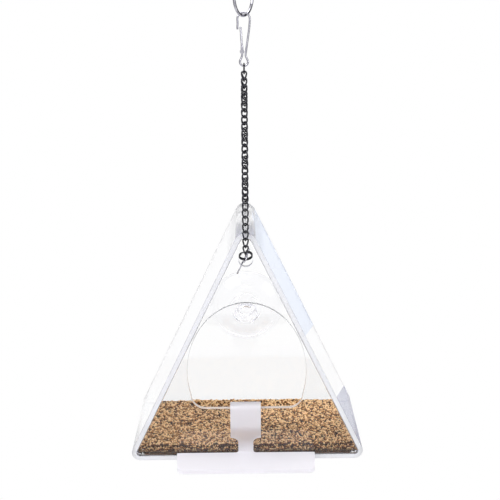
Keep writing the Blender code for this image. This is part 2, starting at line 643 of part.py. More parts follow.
def build_snap_hook(material):
    waist_right = (HOOK_WAIST_HALF_WIDTH, HOOK_WAIST_HEIGHT)
    waist_left = (-HOOK_WAIST_HALF_WIDTH, HOOK_WAIST_HEIGHT)
    top = (0, HOOK_LENGTH)
    bow = arc(top, HOOK_TOP_RADIUS, math.radians(BOW_LEFT), math.radians(BOW_RIGHT), BOW_STEPS)
    pull = HOOK_LENGTH / 3
    lean = (bow[-1][0] - waist_right[0]) / (bow[-1][1] - waist_right[1])
    tip = (-HOOK_TIP_REACH, HOOK_TIP_HEIGHT)
    path = [tip] + bow
    path += bend(bow[-1], (bow[-1][0], bow[-1][1] - pull / 2),
                 (waist_right[0] + lean * pull, waist_right[1] + pull), waist_right, RIDGE_STEPS)
    path.append(waist_right)
    eye_end = math.radians(90 - EYE_OPENING)
    eye = arc((0, 0), EYE_RADIUS, eye_end, -math.pi - eye_end, EYE_STEPS)
    flare = HOOK_WAIST_HALF_WIDTH
    path += bend(waist_right, (waist_right[0], waist_right[1] - flare),
                 (eye[0][0] - flare / 2, eye[0][1] + flare), eye[0], FLARE_STEPS)
    path += eye
    path += bend(eye[-1], (eye[-1][0] + flare / 2, eye[-1][1] + flare),
                 (waist_left[0], waist_left[1] - flare), waist_left, FLARE_STEPS)
    path.append(waist_left)
    path.append((-PIVOT_REACH, PIVOT_HEIGHT - PIVOT_BOSS / 2))
    hook = place("snap_hook", wire_mesh(upright(path), HOOK_WIRE / 2, sides=8), material, sharp=50)
    pivot = (-PIVOT_REACH, EYE_CENTRE + PIVOT_HEIGHT)
    boss = helper("hook_boss", cylinder_mesh(pivot, PIVOT_BOSS, HOOK_WIRE / 2 - SEAT_GAP / 3, HOLE_STEPS))
    bore = helper("hook_bore", cylinder_mesh(pivot, PIVOT_PIN + SEAT_GAP, HOOK_WIRE, HOLE_STEPS // 2))
    combine(hook, boss, "UNION")
    combine(hook, bore, "DIFFERENCE")
    put_on_axis(hook, (0, 0, HANGER_FOOT))
    for guide in (boss, bore):
        guide.parent = hook
        guide.matrix_parent_inverse = Matrix.Translation((0, 0, -HANGER_FOOT))
    return hook


def build_snap_gate(material):
    # A forked foot riveted over the hook's flat end, and a straight arm that closes the hook
    pivot = (-PIVOT_REACH, EYE_CENTRE + PIVOT_HEIGHT)
    inner = HOOK_WIRE / 2 + SEAT_GAP
    outer = inner + CHEEK_THICKNESS
    bridge_foot = PIVOT_BOSS + SEAT_GAP
    bridge_top = bridge_foot + BRIDGE_HEIGHT
    side_left = pivot[0] - CHEEK_HALF_WIDTH
    side_right = pivot[0] + CHEEK_HALF_WIDTH
    block = [
        (side_left, pivot[1] - CHEEK_TAIL),
        (side_right, pivot[1] - CHEEK_TAIL),
        (side_right, pivot[1] + bridge_top),
        (side_left, pivot[1] + bridge_top),
    ]
    gate = place("snap_gate", plate_mesh(block, -outer, outer), material, sharp=50)
    fork = [
        (side_left - CUT_OVERRUN, pivot[1] - CHEEK_TAIL - CUT_OVERRUN),
        (side_right + CUT_OVERRUN, pivot[1] - CHEEK_TAIL - CUT_OVERRUN),
        (side_right + CUT_OVERRUN, pivot[1] + bridge_foot),
        (side_left - CUT_OVERRUN, pivot[1] + bridge_foot),
    ]
    slot = helper("gate_slot", plate_mesh(fork, -inner, inner))
    pin = helper("gate_pin", cylinder_mesh(pivot, PIVOT_PIN, outer - SEAT_GAP / 3, HOLE_STEPS // 3))
    start = (pivot[0], pivot[1] - EYE_CENTRE + (bridge_foot + bridge_top) / 2)
    arm_points = upright([start, (-GATE_TOP_REACH, GATE_TOP_HEIGHT)])
    arm = helper("gate_arm", wire_mesh(arm_points, GATE_WIRE / 2, sides=8))
    combine(gate, slot, "DIFFERENCE")
    combine(gate, pin, "UNION")
    combine(gate, arm, "UNION")
    return gate


def build_hanger_ring(material):
    around = arc((0, HANGER_CENTRE), HANGER_RADIUS, -math.pi / 2, 1.5 * math.pi, HANGER_STEPS)
    turn = Matrix.Rotation(math.radians(HANGER_TURN), 4, "Z")
    points = [turn @ Vector((x, 0, z)) for x, z in around[:-1]]
    return place("hanger_ring", wire_mesh(points, HANGER_WIRE / 2, closed=True, sides=8), material, sharp=50)


def main():
    clear_scene()
    acrylic = finish("clear_acrylic", (0.93, 0.94, 0.97), 0.05, clear=1.0)
    frosted = finish("frosted_acrylic", (0.90, 0.89, 0.91), 0.55, clear=0.6)
    rubber = finish("clear_vinyl", (0.88, 0.90, 0.93), 0.15, clear=0.9)
    steel = finish("bright_steel", (0.72, 0.72, 0.73), 0.20, metallic=1.0)
    dark_steel = finish("dark_steel", (0.16, 0.16, 0.17), 0.28, metallic=1.0)
    seed = finish("mixed_seed", (0.45, 0.27, 0.13), 0.70)

    build_hanger_ring(steel)
    build_snap_hook(steel)
    build_snap_gate(steel)
    build_centre_link(dark_steel)
    build_leg("front", -1, dark_steel)
    build_leg("back", 1, dark_steel)
    build_split_ring("front_split_ring", -1, dark_steel)
    build_split_ring("back_split_ring", 1, dark_steel)
    build_toggle("front_toggle", -1, steel)
    build_toggle("back_toggle", 1, steel)
    build_house_shell(acrylic)
    build_front_panel(acrylic)
    build_back_panel(acrylic)
    build_perch(frosted)
    build_suction_cup(rubber)
    build_seed_fill(seed)


main()
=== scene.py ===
# %% [markdown]
# # A clear window feeder, dressed for its portrait
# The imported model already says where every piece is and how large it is. This notebook
# gives each piece its finish: sheet with polished edges, soft vinyl, twisted steel links
# and about ten thousand grains of seed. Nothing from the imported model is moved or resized.

import math

import bmesh
import bpy
import numpy as np
from mathutils import Matrix, Vector


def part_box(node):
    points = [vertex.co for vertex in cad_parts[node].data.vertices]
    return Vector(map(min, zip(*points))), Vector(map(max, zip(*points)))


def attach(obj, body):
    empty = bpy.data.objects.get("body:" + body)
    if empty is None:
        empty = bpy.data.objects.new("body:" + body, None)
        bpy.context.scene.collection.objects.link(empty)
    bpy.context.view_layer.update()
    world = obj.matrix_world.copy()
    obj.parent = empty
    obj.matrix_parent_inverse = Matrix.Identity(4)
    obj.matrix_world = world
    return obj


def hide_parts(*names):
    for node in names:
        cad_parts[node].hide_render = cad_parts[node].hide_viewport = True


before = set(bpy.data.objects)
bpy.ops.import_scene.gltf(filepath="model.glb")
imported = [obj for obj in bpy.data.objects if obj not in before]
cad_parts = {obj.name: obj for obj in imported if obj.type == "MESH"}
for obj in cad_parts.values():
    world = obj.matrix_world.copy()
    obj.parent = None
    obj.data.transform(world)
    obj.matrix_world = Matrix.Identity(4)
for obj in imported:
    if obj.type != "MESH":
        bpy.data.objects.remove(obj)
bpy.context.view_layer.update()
MM = 0.001

# %% [markdown]
# The house is the one large piece, so the camera and the studio floor are placed from it,
# and the lamps aim at it. Its box gives the front face, the underside of the floor sheet
# and the way back to the window.

# %% Where the house is
HOUSE_LOW, HOUSE_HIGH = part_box("house_shell")
FRONT = HOUSE_LOW.y
BACK = HOUSE_HIGH.y
FLOOR = HOUSE_LOW.z
print("house front, back and underside in mm:", [round(v / MM, 1) for v in (FRONT, BACK, FLOOR)])

# %% [markdown]
# A camera can be found from the straight edges of the object: the house's two triangles
# fix its distance, height and tilt. It looks down a little from half a metre away, and it
# leans by a fraction of a degree. A camera's own axes are the columns of its matrix, so
# the view is built from the three directions instead of three angles in a fixed order.
# Light that enters a sheet by its edge bounces along inside it like in a glass fibre, and
# a path that is cut short turns black, so the scene allows more bounces than usual.

# %% Camera
CAMERA_AWAY = 524.06 * MM       # in front of the front panel
CAMERA_RISE = 307.89 * MM       # over the underside of the floor
CAMERA_SIDE = -0.40 * MM
CAMERA_PITCH = math.radians(17.35)
CAMERA_YAW = math.radians(0.40)
CAMERA_ROLL = math.radians(-0.40)
LENS = 64.8                     # mm
SENSOR = 36                     # mm
PIXEL = 1.0 / 500               # share of the frame's width
NEAREST = 10 * MM
FARTHEST = 20                   # metres
BOUNCES = 96

look = Vector((
    math.sin(CAMERA_YAW) * math.cos(CAMERA_PITCH),
    math.cos(CAMERA_YAW) * math.cos(CAMERA_PITCH),
    -math.sin(CAMERA_PITCH),
))
side = look.cross(Vector((0, 0, 1))).normalized()
above = side.cross(look)
turned_side = side * math.cos(CAMERA_ROLL) + above * math.sin(CAMERA_ROLL)
turned_above = above * math.cos(CAMERA_ROLL) - side * math.sin(CAMERA_ROLL)
camera_data = bpy.data.cameras.new("camera")
camera_data.lens = LENS
camera_data.sensor_width = SENSOR
camera_data.shift_x = -PIXEL
camera_data.clip_start = NEAREST
camera_data.clip_end = FARTHEST
camera = bpy.data.objects.new("camera", camera_data)
bpy.context.scene.collection.objects.link(camera)
camera_axes = Matrix((turned_side, turned_above, -look)).transposed().to_4x4()
camera_spot = Vector((CAMERA_SIDE, FRONT - CAMERA_AWAY, FLOOR + CAMERA_RISE))
camera.matrix_world = Matrix.Translation(camera_spot) @ camera_axes
bpy.context.scene.camera = camera
bpy.context.scene.view_settings.view_transform = "Standard"
light_paths = bpy.context.scene.cycles
light_paths.max_bounces = BOUNCES
light_paths.transmission_bounces = BOUNCES
light_paths.glossy_bounces = BOUNCES
print("camera at", [round(v, 3) for v in camera_spot])

# %% [markdown]
# Every colour below is written as it would be picked on a screen. Blender's sockets want
# linear light, so one function turns the hex value into it, with the numbers of the sRGB
# standard. A second small function adds a node, sets its options and joins its sockets,
# which keeps the recipes short. A third starts a material from its plain values.

# %% Helpers for materials


def linear(hex_colour):
    parts = [int(hex_colour[i:i + 2], 16) / 255 for i in (1, 3, 5)]
    return (*[v / 12.92 if v <= 0.04045 else ((v + 0.055) / 1.055) ** 2.4 for v in parts], 1.0)


def add(tree, kind, sockets=None, **options):
    node = tree.nodes.new(kind)
    for option, value in options.items():
        setattr(node, option, value)
    for socket, value in (sockets or {}).items():
        if isinstance(value, bpy.types.NodeSocket):
            tree.links.new(value, node.inputs[socket])
        else:
            node.inputs[socket].default_value = value
    return node


def new_material(name, **shader_values):
    # A material with one Principled shader, whose plain values are set by socket name
    material = bpy.data.materials.new(name)
    material.use_nodes = True
    tree = material.node_tree
    shader = tree.nodes["Principled BSDF"]
    for socket, value in shader_values.items():
        shader.inputs[socket.replace("_", " ").title().replace("Ior", "IOR")].default_value = value
    return material, tree, shader


print("white is", linear("#FFFFFF")[:3])

# %% [markdown]
# The feeder hangs, so the floor is well below it and takes a soft shadow, which fades to
# plain white further out. Behind it there is only white: the world is plain white where the
# camera looks, and where steel and clear sheet look, but it lights the pieces more gently.

# %% World and floor
SKY_LIGHT = 0.66
FLOOR_DROP = 0.22               # metres under the house
FLOOR_SIZE = 6.0
SHADOW_REACH = 0.12             # metres round the middle where the floor shows its shadow in full
SHADOW_FADE = 0.13              # from there to plain white


def seen_by_the_eye(tree):
    # 1 where the camera looks, also by way of steel or clear sheet, and 0 where light falls
    path = add(tree, "ShaderNodeLightPath")
    straight = add(tree, "ShaderNodeMath", {
        0: path.outputs["Is Camera Ray"], 1: path.outputs["Is Glossy Ray"]}, operation="MAXIMUM")
    either = add(tree, "ShaderNodeMath", {
        0: straight.outputs[0], 1: path.outputs["Is Transmission Ray"]}, operation="MAXIMUM")
    return either.outputs[0]


world = bpy.data.worlds.new("white_studio")
world.use_nodes = True
bpy.context.scene.world = world
tree = world.node_tree
tree.nodes.clear()
seen = seen_by_the_eye(tree)
sky = add(tree, "ShaderNodeBackground", {"Color": linear("#FFFFFF"), "Strength": SKY_LIGHT})
white = add(tree, "ShaderNodeBackground", {"Color": linear("#FFFFFF"), "Strength": 1.0})
mixed = add(tree, "ShaderNodeMixShader", {0: seen, 1: sky.outputs[0], 2: white.outputs[0]})
add(tree, "ShaderNodeOutputWorld", {"Surface": mixed.outputs[0]})

shape = bmesh.new()
bmesh.ops.create_grid(shape, x_segments=1, y_segments=1, size=FLOOR_SIZE / 2)
bmesh.ops.translate(shape, vec=(0, 0, FLOOR - FLOOR_DROP), verts=shape.verts)
floor_mesh = bpy.data.meshes.new("studio_floor")
shape.to_mesh(floor_mesh)
shape.free()
studio_floor = bpy.data.objects.new("studio_floor", floor_mesh)
bpy.context.scene.collection.objects.link(studio_floor)
painted, tree, shader = new_material("matt_white_floor", base_color=linear("#F4F4F5"), roughness=0.9)
seen = seen_by_the_eye(tree)
spot = add(tree, "ShaderNodeTexCoord")
flat = add(tree, "ShaderNodeVectorMath", {
    0: spot.outputs["Object"], 1: (1.0, 1.0, 0.0)}, operation="MULTIPLY")
away = add(tree, "ShaderNodeVectorMath", {0: flat.outputs[0]}, operation="LENGTH")
fade = add(tree, "ShaderNodeMapRange", {
    "Value": away.outputs["Value"], "From Min": SHADOW_REACH, "From Max": SHADOW_REACH + SHADOW_FADE},
    interpolation_type="SMOOTHSTEP")
far_and_seen = add(tree, "ShaderNodeMath", {0: fade.outputs["Result"], 1: seen}, operation="MULTIPLY")
glow = add(tree, "ShaderNodeEmission", {"Color": linear("#FFFFFF"), "Strength": 1.0})
mixed = add(tree, "ShaderNodeMixShader", {
    0: far_and_seen.outputs[0], 1: shader.outputs[0], 2: glow.outputs[0]})
tree.links.new(mixed.outputs[0], tree.nodes["Material Output"].inputs["Surface"])
floor_mesh.materials.append(painted)
print("floor", FLOOR_DROP, "m under the house")

# %% [markdown]
# Three large soft lamps: one high on the left, in front, a weaker one on the right and one
# above. Clear sheet and steel show mostly what is around them, so a studio puts cards round
# such things, out of the picture. Black ones on both sides draw the dark lines along wires
# and edges, and a low one in front darkens what the front pane mirrors. A pale blue and a
# grey one behind tint the right wall, which is seen at a flat angle. Only reflections see
# these cards.

# %% Lamps and cards
LAMPS = {                       # place and diameter in metres, and watts
    "key_lamp": ((-0.55, -0.75, 0.45), 0.60, 9.0),
    "fill_lamp": ((0.75, -0.45, 0.10), 0.50, 2.8),
    "top_lamp": ((0.0, 0.15, 0.60), 0.50, 2.6),
}
HOUSE_MIDDLE = Vector((0, 0, FLOOR + 70 * MM))


def aim(thing, spot, target):
    thing.location = spot
    thing.rotation_mode = "QUATERNION"
    thing.rotation_quaternion = (target - Vector(spot)).to_track_quat("-Z", "Y")


for name, (spot, size, watts) in LAMPS.items():
    lamp_data = bpy.data.lights.new(name, "AREA")
    lamp_data.shape = "DISK"
    lamp_data.size = size
    lamp_data.energy = watts
    lamp = bpy.data.objects.new(name, lamp_data)
    bpy.context.scene.collection.objects.link(lamp)
    aim(lamp, spot, HOUSE_MIDDLE)

BLACK_PAPER = "#141417"
CARDS = {                       # place, width and height in metres, and colour
    "left_card": ((-0.42, 0.10, -0.05), (0.62, 0.80), BLACK_PAPER),
    "right_card": ((0.42, 0.10, -0.05), (0.62, 0.80), BLACK_PAPER),
    "blue_card": ((0.30, 0.95, -0.42), (0.26, 0.50), "#E0E9F9"),
    "low_card": ((0.0, -0.43, -0.50), (0.50, 0.17), BLACK_PAPER),
    "grey_card": ((0.215, 0.40, -0.470), (0.20, 0.065), "#A2A4B6"),
}
for name, (spot, (wide, high), colour) in CARDS.items():
    card_paint, tree, shader = new_material(f"{name}_paper", base_color=linear(colour), roughness=0.9)
    shape = bmesh.new()
    bmesh.ops.create_grid(shape, x_segments=1, y_segments=1, size=1 / 2)
    bmesh.ops.scale(shape, vec=(wide, high, 1), verts=shape.verts)
    card_mesh = bpy.data.meshes.new(name)
    shape.to_mesh(card_mesh)
    shape.free()
    card_mesh.materials.append(card_paint)
    card = bpy.data.objects.new(name, card_mesh)
    bpy.context.scene.collection.objects.link(card)
    aim(card, spot, HOUSE_MIDDLE)
    card.visible_camera = False
    card.visible_diffuse = False
    card.visible_transmission = False
    card.visible_shadow = False
print(len(LAMPS), "lamps and", len(CARDS), "cards")

# %% [markdown]
# Cast acrylic is as clear as glass and lighter. It bends light by 1.49. Seen through its
# face it has hardly any colour, but along a cut edge the eye looks through the sheet's
# whole depth, so the edges look lavender grey. That is what absorption inside the solid
# does, and no colour on the surface could do it. The shell was heated along its three
# bends, which leaves the sheet a little hazy there: the haze grows from where the heat
# began to where the sheet bends, at the ridge and at both sides of the floor.

# %% Cast acrylic
ACRYLIC_IOR = 1.49
ACRYLIC_TINT = "#DEE0F0"
ACRYLIC_DENSITY = 4.5           # of the tint, for each metre of depth
SMEAR = 18.0 * MM               # breadth of the faint wiping marks
HEATED_ABOVE = FLOOR + 136 * MM
BENT_ABOVE = FLOOR + 146 * MM
HEATED_BESIDE = 64 * MM         # from the middle of the house
BENT_BESIDE = 71 * MM
HEATED_UNDER = FLOOR + 14 * MM
sheets = {}
for name, colour, bend_haze in (("cast_acrylic", "#FFFFFF", 0.0), ("bent_cast_acrylic", "#FEFEFF", 0.15)):
    sheet, tree, shader = new_material(
        name, base_color=linear(colour), roughness=0.02, ior=ACRYLIC_IOR, transmission_weight=1.0)
    place = add(tree, "ShaderNodeTexCoord")
    wiping = add(tree, "ShaderNodeTexNoise", {
        "Vector": place.outputs["Object"], "Scale": 1 / SMEAR, "Detail": 3.0, "Roughness": 0.55})
    haze = add(tree, "ShaderNodeMapRange", {
        "Value": wiping.outputs["Fac"], "From Min": 0.45, "From Max": 0.75, "To Min": 0.0, "To Max": 0.035})
    spot = add(tree, "ShaderNodeSeparateXYZ", {0: place.outputs["Object"]})
    ridge = add(tree, "ShaderNodeMapRange", {
        "Value": spot.outputs["Z"], "From Min": HEATED_ABOVE, "From Max": BENT_ABOVE, "To Max": bend_haze})
    across = add(tree, "ShaderNodeMath", {0: spot.outputs["X"]}, operation="ABSOLUTE")
    beside = add(tree, "ShaderNodeMapRange", {
        "Value": across.outputs[0], "From Min": HEATED_BESIDE, "From Max": BENT_BESIDE, "To Max": bend_haze})
    low = add(tree, "ShaderNodeMath", {0: spot.outputs["Z"], 1: HEATED_UNDER}, operation="LESS_THAN")
    corner = add(tree, "ShaderNodeMath", {
        0: beside.outputs["Result"], 1: low.outputs[0]}, operation="MULTIPLY")
    bends = add(tree, "ShaderNodeMath", {
        0: ridge.outputs["Result"], 1: corner.outputs[0]}, operation="MAXIMUM")
    rough = add(tree, "ShaderNodeMath", {
        0: haze.outputs["Result"], 1: bends.outputs[0]}, operation="MAXIMUM")
    tree.links.new(rough.outputs[0], shader.inputs["Roughness"])
    inside = add(tree, "ShaderNodeVolumeAbsorption", {
        "Color": linear(ACRYLIC_TINT), "Density": ACRYLIC_DENSITY})
    tree.links.new(inside.outputs[0], tree.nodes["Material Output"].inputs["Volume"])
    sheets[name] = sheet
print("sheets:", sorted(sheets))

# %% [markdown]
# The edges of the sheet look different from its faces. The shell's two ends were sawn,
# which leaves them satin, like ground glass, and their corners carry painted shade in short
# stretches of lighter and darker grey. The opening was cut by a laser, which leaves a
# polished rim; its colour is painted reflection, dark from the widest line of the opening
# up, and pale along the sill.

# %% Sawn edges, painted shade on the corners and painted reflection on the rim
SAW_MARK_WIDTH = 0.4 * MM
SAW_MARK_LENGTH = 3 * MM        # along the depth of the house
SHADE_STRETCH = 2.5 * MM                 # length of a lighter or darker stretch of the corner
LASER_STREAK = 0.5 * MM
SILL_LEVEL = FLOOR + 37 * MM
OPENING_RISE = 75 * MM          # from the sill to the top of the opening
sawn, tree, shader = new_material(
    "sawn_acrylic_edge", base_color=linear("#FEFEFF"), roughness=0.34, ior=ACRYLIC_IOR,
    transmission_weight=0.60)
place = add(tree, "ShaderNodeTexCoord")
strokes = add(tree, "ShaderNodeMapping", {
    "Vector": place.outputs["Object"],
    "Scale": (1 / SAW_MARK_WIDTH, 1 / SAW_MARK_LENGTH, 1 / SAW_MARK_WIDTH)})
scraping = add(tree, "ShaderNodeTexNoise", {"Vector": strokes.outputs[0], "Scale": 1.0, "Detail": 2.0})
satin = add(tree, "ShaderNodeMapRange", {"Value": scraping.outputs["Fac"], "To Min": 0.24, "To Max": 0.44})
tree.links.new(satin.outputs["Result"], shader.inputs["Roughness"])
inside = add(tree, "ShaderNodeVolumeAbsorption", {
    "Color": linear(ACRYLIC_TINT), "Density": ACRYLIC_DENSITY})
tree.links.new(inside.outputs[0], tree.nodes["Material Output"].inputs["Volume"])

corner_painted_shade, tree, shader = new_material(
    "acrylic_corner_painted_shade", base_color=linear("#8E919C"), roughness=0.30, ior=ACRYLIC_IOR,
    transmission_weight=0.40)
place = add(tree, "ShaderNodeTexCoord")
shade_stretches = add(tree, "ShaderNodeTexNoise", {
    "Vector": place.outputs["Object"], "Scale": 1 / SHADE_STRETCH, "Detail": 3.0})
# Painted shade: the shell's corners get lighter and darker grey in short stretches
greys = add(tree, "ShaderNodeValToRGB", {"Fac": shade_stretches.outputs["Fac"]})
greys.color_ramp.elements[0].position = 0.35
greys.color_ramp.elements[0].color = linear("#666A76")
greys.color_ramp.elements[1].position = 0.65
greys.color_ramp.elements[1].color = linear("#B4B6C0")
tree.links.new(greys.outputs["Color"], shader.inputs["Base Color"])

rim_painted_reflection, tree, shader = new_material(
    "laser_cut_edge_painted_reflection", base_color=linear("#8A8E99"), roughness=0.20, ior=ACRYLIC_IOR,
    transmission_weight=0.35)
place = add(tree, "ShaderNodeTexCoord")
spot = add(tree, "ShaderNodeSeparateXYZ", {0: place.outputs["Object"]})
height = add(tree, "ShaderNodeMapRange", {
    "Value": spot.outputs["Z"], "From Min": SILL_LEVEL, "From Max": SILL_LEVEL + OPENING_RISE})
# Painted reflection: by height, the rim is pale at the sill and dark from the opening's widest line up
reflection_by_height = add(tree, "ShaderNodeValToRGB", {"Fac": height.outputs["Result"]})
reflection_by_height.color_ramp.elements[0].position = 0.30
reflection_by_height.color_ramp.elements[0].color = linear("#D0C0B4")
reflection_by_height.color_ramp.elements[1].position = 0.50
reflection_by_height.color_ramp.elements[1].color = linear("#343A45")
tree.links.new(reflection_by_height.outputs["Color"], shader.inputs["Base Color"])
streaks = add(tree, "ShaderNodeTexNoise", {
    "Vector": place.outputs["Object"], "Scale": 1 / LASER_STREAK, "Detail": 2.0})
gloss = add(tree, "ShaderNodeMapRange", {"Value": streaks.outputs["Fac"], "To Min": 0.14, "To Max": 0.30})
tree.links.new(gloss.outputs["Result"], shader.inputs["Roughness"])
print("edges:", sawn.name, corner_painted_shade.name, rim_painted_reflection.name)

# %% [markdown]
# The perch is acrylic with both faces frosted: a fine, even roughness that lets light
# through but no picture. The brown seed shows faintly through its stem, while the bar below
# and the hook, where the strip lies behind itself, are nearly white. So the material lets
# less light through at those two than in between.

# %% Frosted acrylic
FROST = 0.35 * MM               # drawn coarser than real frosting, so that it shows at all
FROST_DEPTH = 0.05 * MM
FROST_PATCH = 14.0 * MM         # breadth of the slightly duller patches
BAR_LEVEL = FLOOR + 7 * MM      # about the top of the bar
STEM_LEVEL = FLOOR + 16 * MM    # the strip is clearest from here up to HOOK_FOOT
HOOK_FOOT = FLOOR + 23.5 * MM
HOOK_LEVEL = FLOOR + 25.5 * MM
BAR_CLEAR = 0.50                # share of the light that is let through
STEM_CLEAR = 0.80
HOOK_CLEAR = 0.62

frosted, tree, shader = new_material(
    "frosted_acrylic", base_color=linear("#FBF9FE"), roughness=0.40, ior=ACRYLIC_IOR,
    transmission_weight=0.76)
place = add(tree, "ShaderNodeTexCoord")
grit = add(tree, "ShaderNodeTexNoise", {
    "Vector": place.outputs["Object"], "Scale": 1 / FROST, "Detail": 2.0, "Roughness": 0.6})
dents = add(tree, "ShaderNodeBump", {
    "Height": grit.outputs["Fac"], "Strength": 0.12, "Distance": FROST_DEPTH})
tree.links.new(dents.outputs["Normal"], shader.inputs["Normal"])
patches = add(tree, "ShaderNodeTexNoise", {
    "Vector": place.outputs["Object"], "Scale": 1 / FROST_PATCH, "Detail": 2.0})
uneven = add(tree, "ShaderNodeMapRange", {"Value": patches.outputs["Fac"], "To Min": 0.32, "To Max": 0.46})
tree.links.new(uneven.outputs["Result"], shader.inputs["Roughness"])
spot = add(tree, "ShaderNodeSeparateXYZ", {0: place.outputs["Object"]})
bar_to_stem = add(tree, "ShaderNodeMapRange", {
    "Value": spot.outputs["Z"], "From Min": BAR_LEVEL, "From Max": STEM_LEVEL,
    "To Min": BAR_CLEAR, "To Max": STEM_CLEAR})
stem_to_hook = add(tree, "ShaderNodeMapRange", {
    "Value": spot.outputs["Z"], "From Min": HOOK_FOOT, "From Max": HOOK_LEVEL,
    "To Min": STEM_CLEAR, "To Max": HOOK_CLEAR})
clear = add(tree, "ShaderNodeMath", {
    0: bar_to_stem.outputs["Result"], 1: stem_to_hook.outputs["Result"]}, operation="MINIMUM")
tree.links.new(clear.outputs[0], shader.inputs["Transmission Weight"])
print("frost grain", FROST / MM, "mm")

# %% [markdown]
# Suction cups are moulded from soft clear vinyl. It is a little milky and less smooth
# than acrylic, with faint flow marks from the mould.

# %% Clear vinyl
FLOW_MARK = 3.0 * MM
FLOW_DEPTH = 0.2 * MM
vinyl, tree, shader = new_material(
    "clear_vinyl", base_color=linear("#FEFEFF"), roughness=0.06, ior=1.53, transmission_weight=1.0)
place = add(tree, "ShaderNodeTexCoord")
flow = add(tree, "ShaderNodeTexNoise", {
    "Vector": place.outputs["Object"], "Scale": 1 / FLOW_MARK, "Detail": 2.0})
ripple = add(tree, "ShaderNodeBump", {
    "Height": flow.outputs["Fac"], "Strength": 0.10, "Distance": FLOW_DEPTH})
tree.links.new(ripple.outputs["Normal"], shader.inputs["Normal"])
inside = add(tree, "ShaderNodeVolumeAbsorption", {"Color": linear("#E2E0F4"), "Density": 4.0})
tree.links.new(inside.outputs[0], tree.nodes["Material Output"].inputs["Volume"])
print("vinyl bends light by", shader.inputs["IOR"].default_value)

# %% [markdown]
# Two steels. The chain and its split rings are gunmetal plated, nearly black where they
# don't face a lamp. The hook, its gate, the toggles and the top ring are bright nickel
# plate. Both have fine drawing marks and slightly duller patches.

# %% Plated steels
STAIN = 1.6 * MM
DRAWN_MARK = 0.25 * MM
DRAWN_DEPTH = 0.02 * MM
steels = {}
for name, dark, light, smooth, dull in (
        ("gunmetal_plate", "#2C2C31", "#4A4A50", 0.24, 0.42),
        ("nickel_plate", "#A3A2AC", "#C9C8D0", 0.14, 0.28)):
    metal, tree, shader = new_material(name, base_color=linear(light), metallic=1.0, roughness=smooth)
    place = add(tree, "ShaderNodeTexCoord")
    stains = add(tree, "ShaderNodeTexNoise", {
        "Vector": place.outputs["Object"], "Scale": 1 / STAIN, "Detail": 3.0})
    tones = add(tree, "ShaderNodeValToRGB", {"Fac": stains.outputs["Fac"]})
    tones.color_ramp.elements[0].position = 0.35
    tones.color_ramp.elements[0].color = linear(dark)
    tones.color_ramp.elements[1].position = 0.68
    tones.color_ramp.elements[1].color = linear(light)
    tree.links.new(tones.outputs["Color"], shader.inputs["Base Color"])
    wear = add(tree, "ShaderNodeMapRange", {
        "Value": stains.outputs["Fac"], "To Min": dull, "To Max": smooth})
    tree.links.new(wear.outputs["Result"], shader.inputs["Roughness"])
    scratches = add(tree, "ShaderNodeTexNoise", {
        "Vector": place.outputs["Object"], "Scale": 1 / DRAWN_MARK, "Detail": 2.0})
    marks = add(tree, "ShaderNodeBump", {
        "Height": scratches.outputs["Fac"], "Strength": 0.15, "Distance": DRAWN_DEPTH})
    tree.links.new(marks.outputs["Normal"], shader.inputs["Normal"])
    steels[name] = metal
gunmetal = steels["gunmetal_plate"]
nickel = steels["nickel_plate"]
print("steels:", sorted(steels))

# %% [markdown]
# Pieces from here on. A finished bmesh becomes an object at the origin, with its place
# in its mesh, rides on the body that carries it and stands for the node it replaces.
# Smooth shading blends the directions of neighbouring faces that meet at less than an
# angle given in degrees. On a large flat face of clear sheet that would act as a lens, so
# the large faces stay flat.

# %% Hand a piece over
WELD = 0.002 * MM               # corners nearer than this are one corner
FLAT_FROM = 200 * MM**2         # a face this large is flat stock, and is shaded flat


def deliver(shape, name, material, body, nodes, smooth_below):
    bmesh.ops.remove_doubles(shape, verts=shape.verts, dist=WELD)
    mesh = bpy.data.meshes.new(name)
    shape.to_mesh(mesh)
    shape.free()
    mesh.materials.append(material)
    mesh.shade_smooth()
    mesh.set_sharp_from_angle(angle=math.radians(smooth_below))
    for face in mesh.polygons:
        face.use_smooth = face.area < FLAT_FROM
    piece = bpy.data.objects.new(name, mesh)
    bpy.context.scene.collection.objects.link(piece)
    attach(piece, body)
    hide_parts(*nodes)
    return piece


print("faces from", round(FLAT_FROM / MM**2), "square mm up are shaded flat")

# %% [markdown]
# Laser-cut sheet is flame polished, which rounds its edges by a third of a millimetre.
# A hard edge in clear material has no highlight at all, so this small rounding is what
# makes the sheet's outline visible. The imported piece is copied, its triangles are merged
# back into flat faces, and only its sharp edges are bevelled.

# %% Sheet pieces with polished edges
POLISH = 0.30 * MM
FLAT_WITHIN = math.radians(0.5)
EDGE_STEPS = 3


def polished(node, edge, sharp=40):
    shape = bmesh.new()
    shape.from_mesh(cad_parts[node].data)
    bmesh.ops.remove_doubles(shape, verts=shape.verts, dist=WELD)
    bmesh.ops.dissolve_limit(shape, angle_limit=FLAT_WITHIN, verts=shape.verts, edges=shape.edges)
    rim = [e for e in shape.edges if len(e.link_faces) == 2 and e.calc_face_angle() > math.radians(sharp)]
    bmesh.ops.bevel(
        shape, geom=rim, offset=edge, affect="EDGES", segments=EDGE_STEPS, profile=0.5, material=-1,
        clamp_overlap=True)
    return shape


panes = {}
for node, title, sheet in (
        ("house_shell", "bent_house", "bent_cast_acrylic"),
        ("front_panel", "front_pane", "cast_acrylic"),
        ("back_panel", "back_pane", "cast_acrylic")):
    panes[title] = deliver(polished(node, POLISH), title, sheets[sheet], "house", [node],
                           smooth_below=30)
    print(title, len(panes[title].data.polygons), "faces")
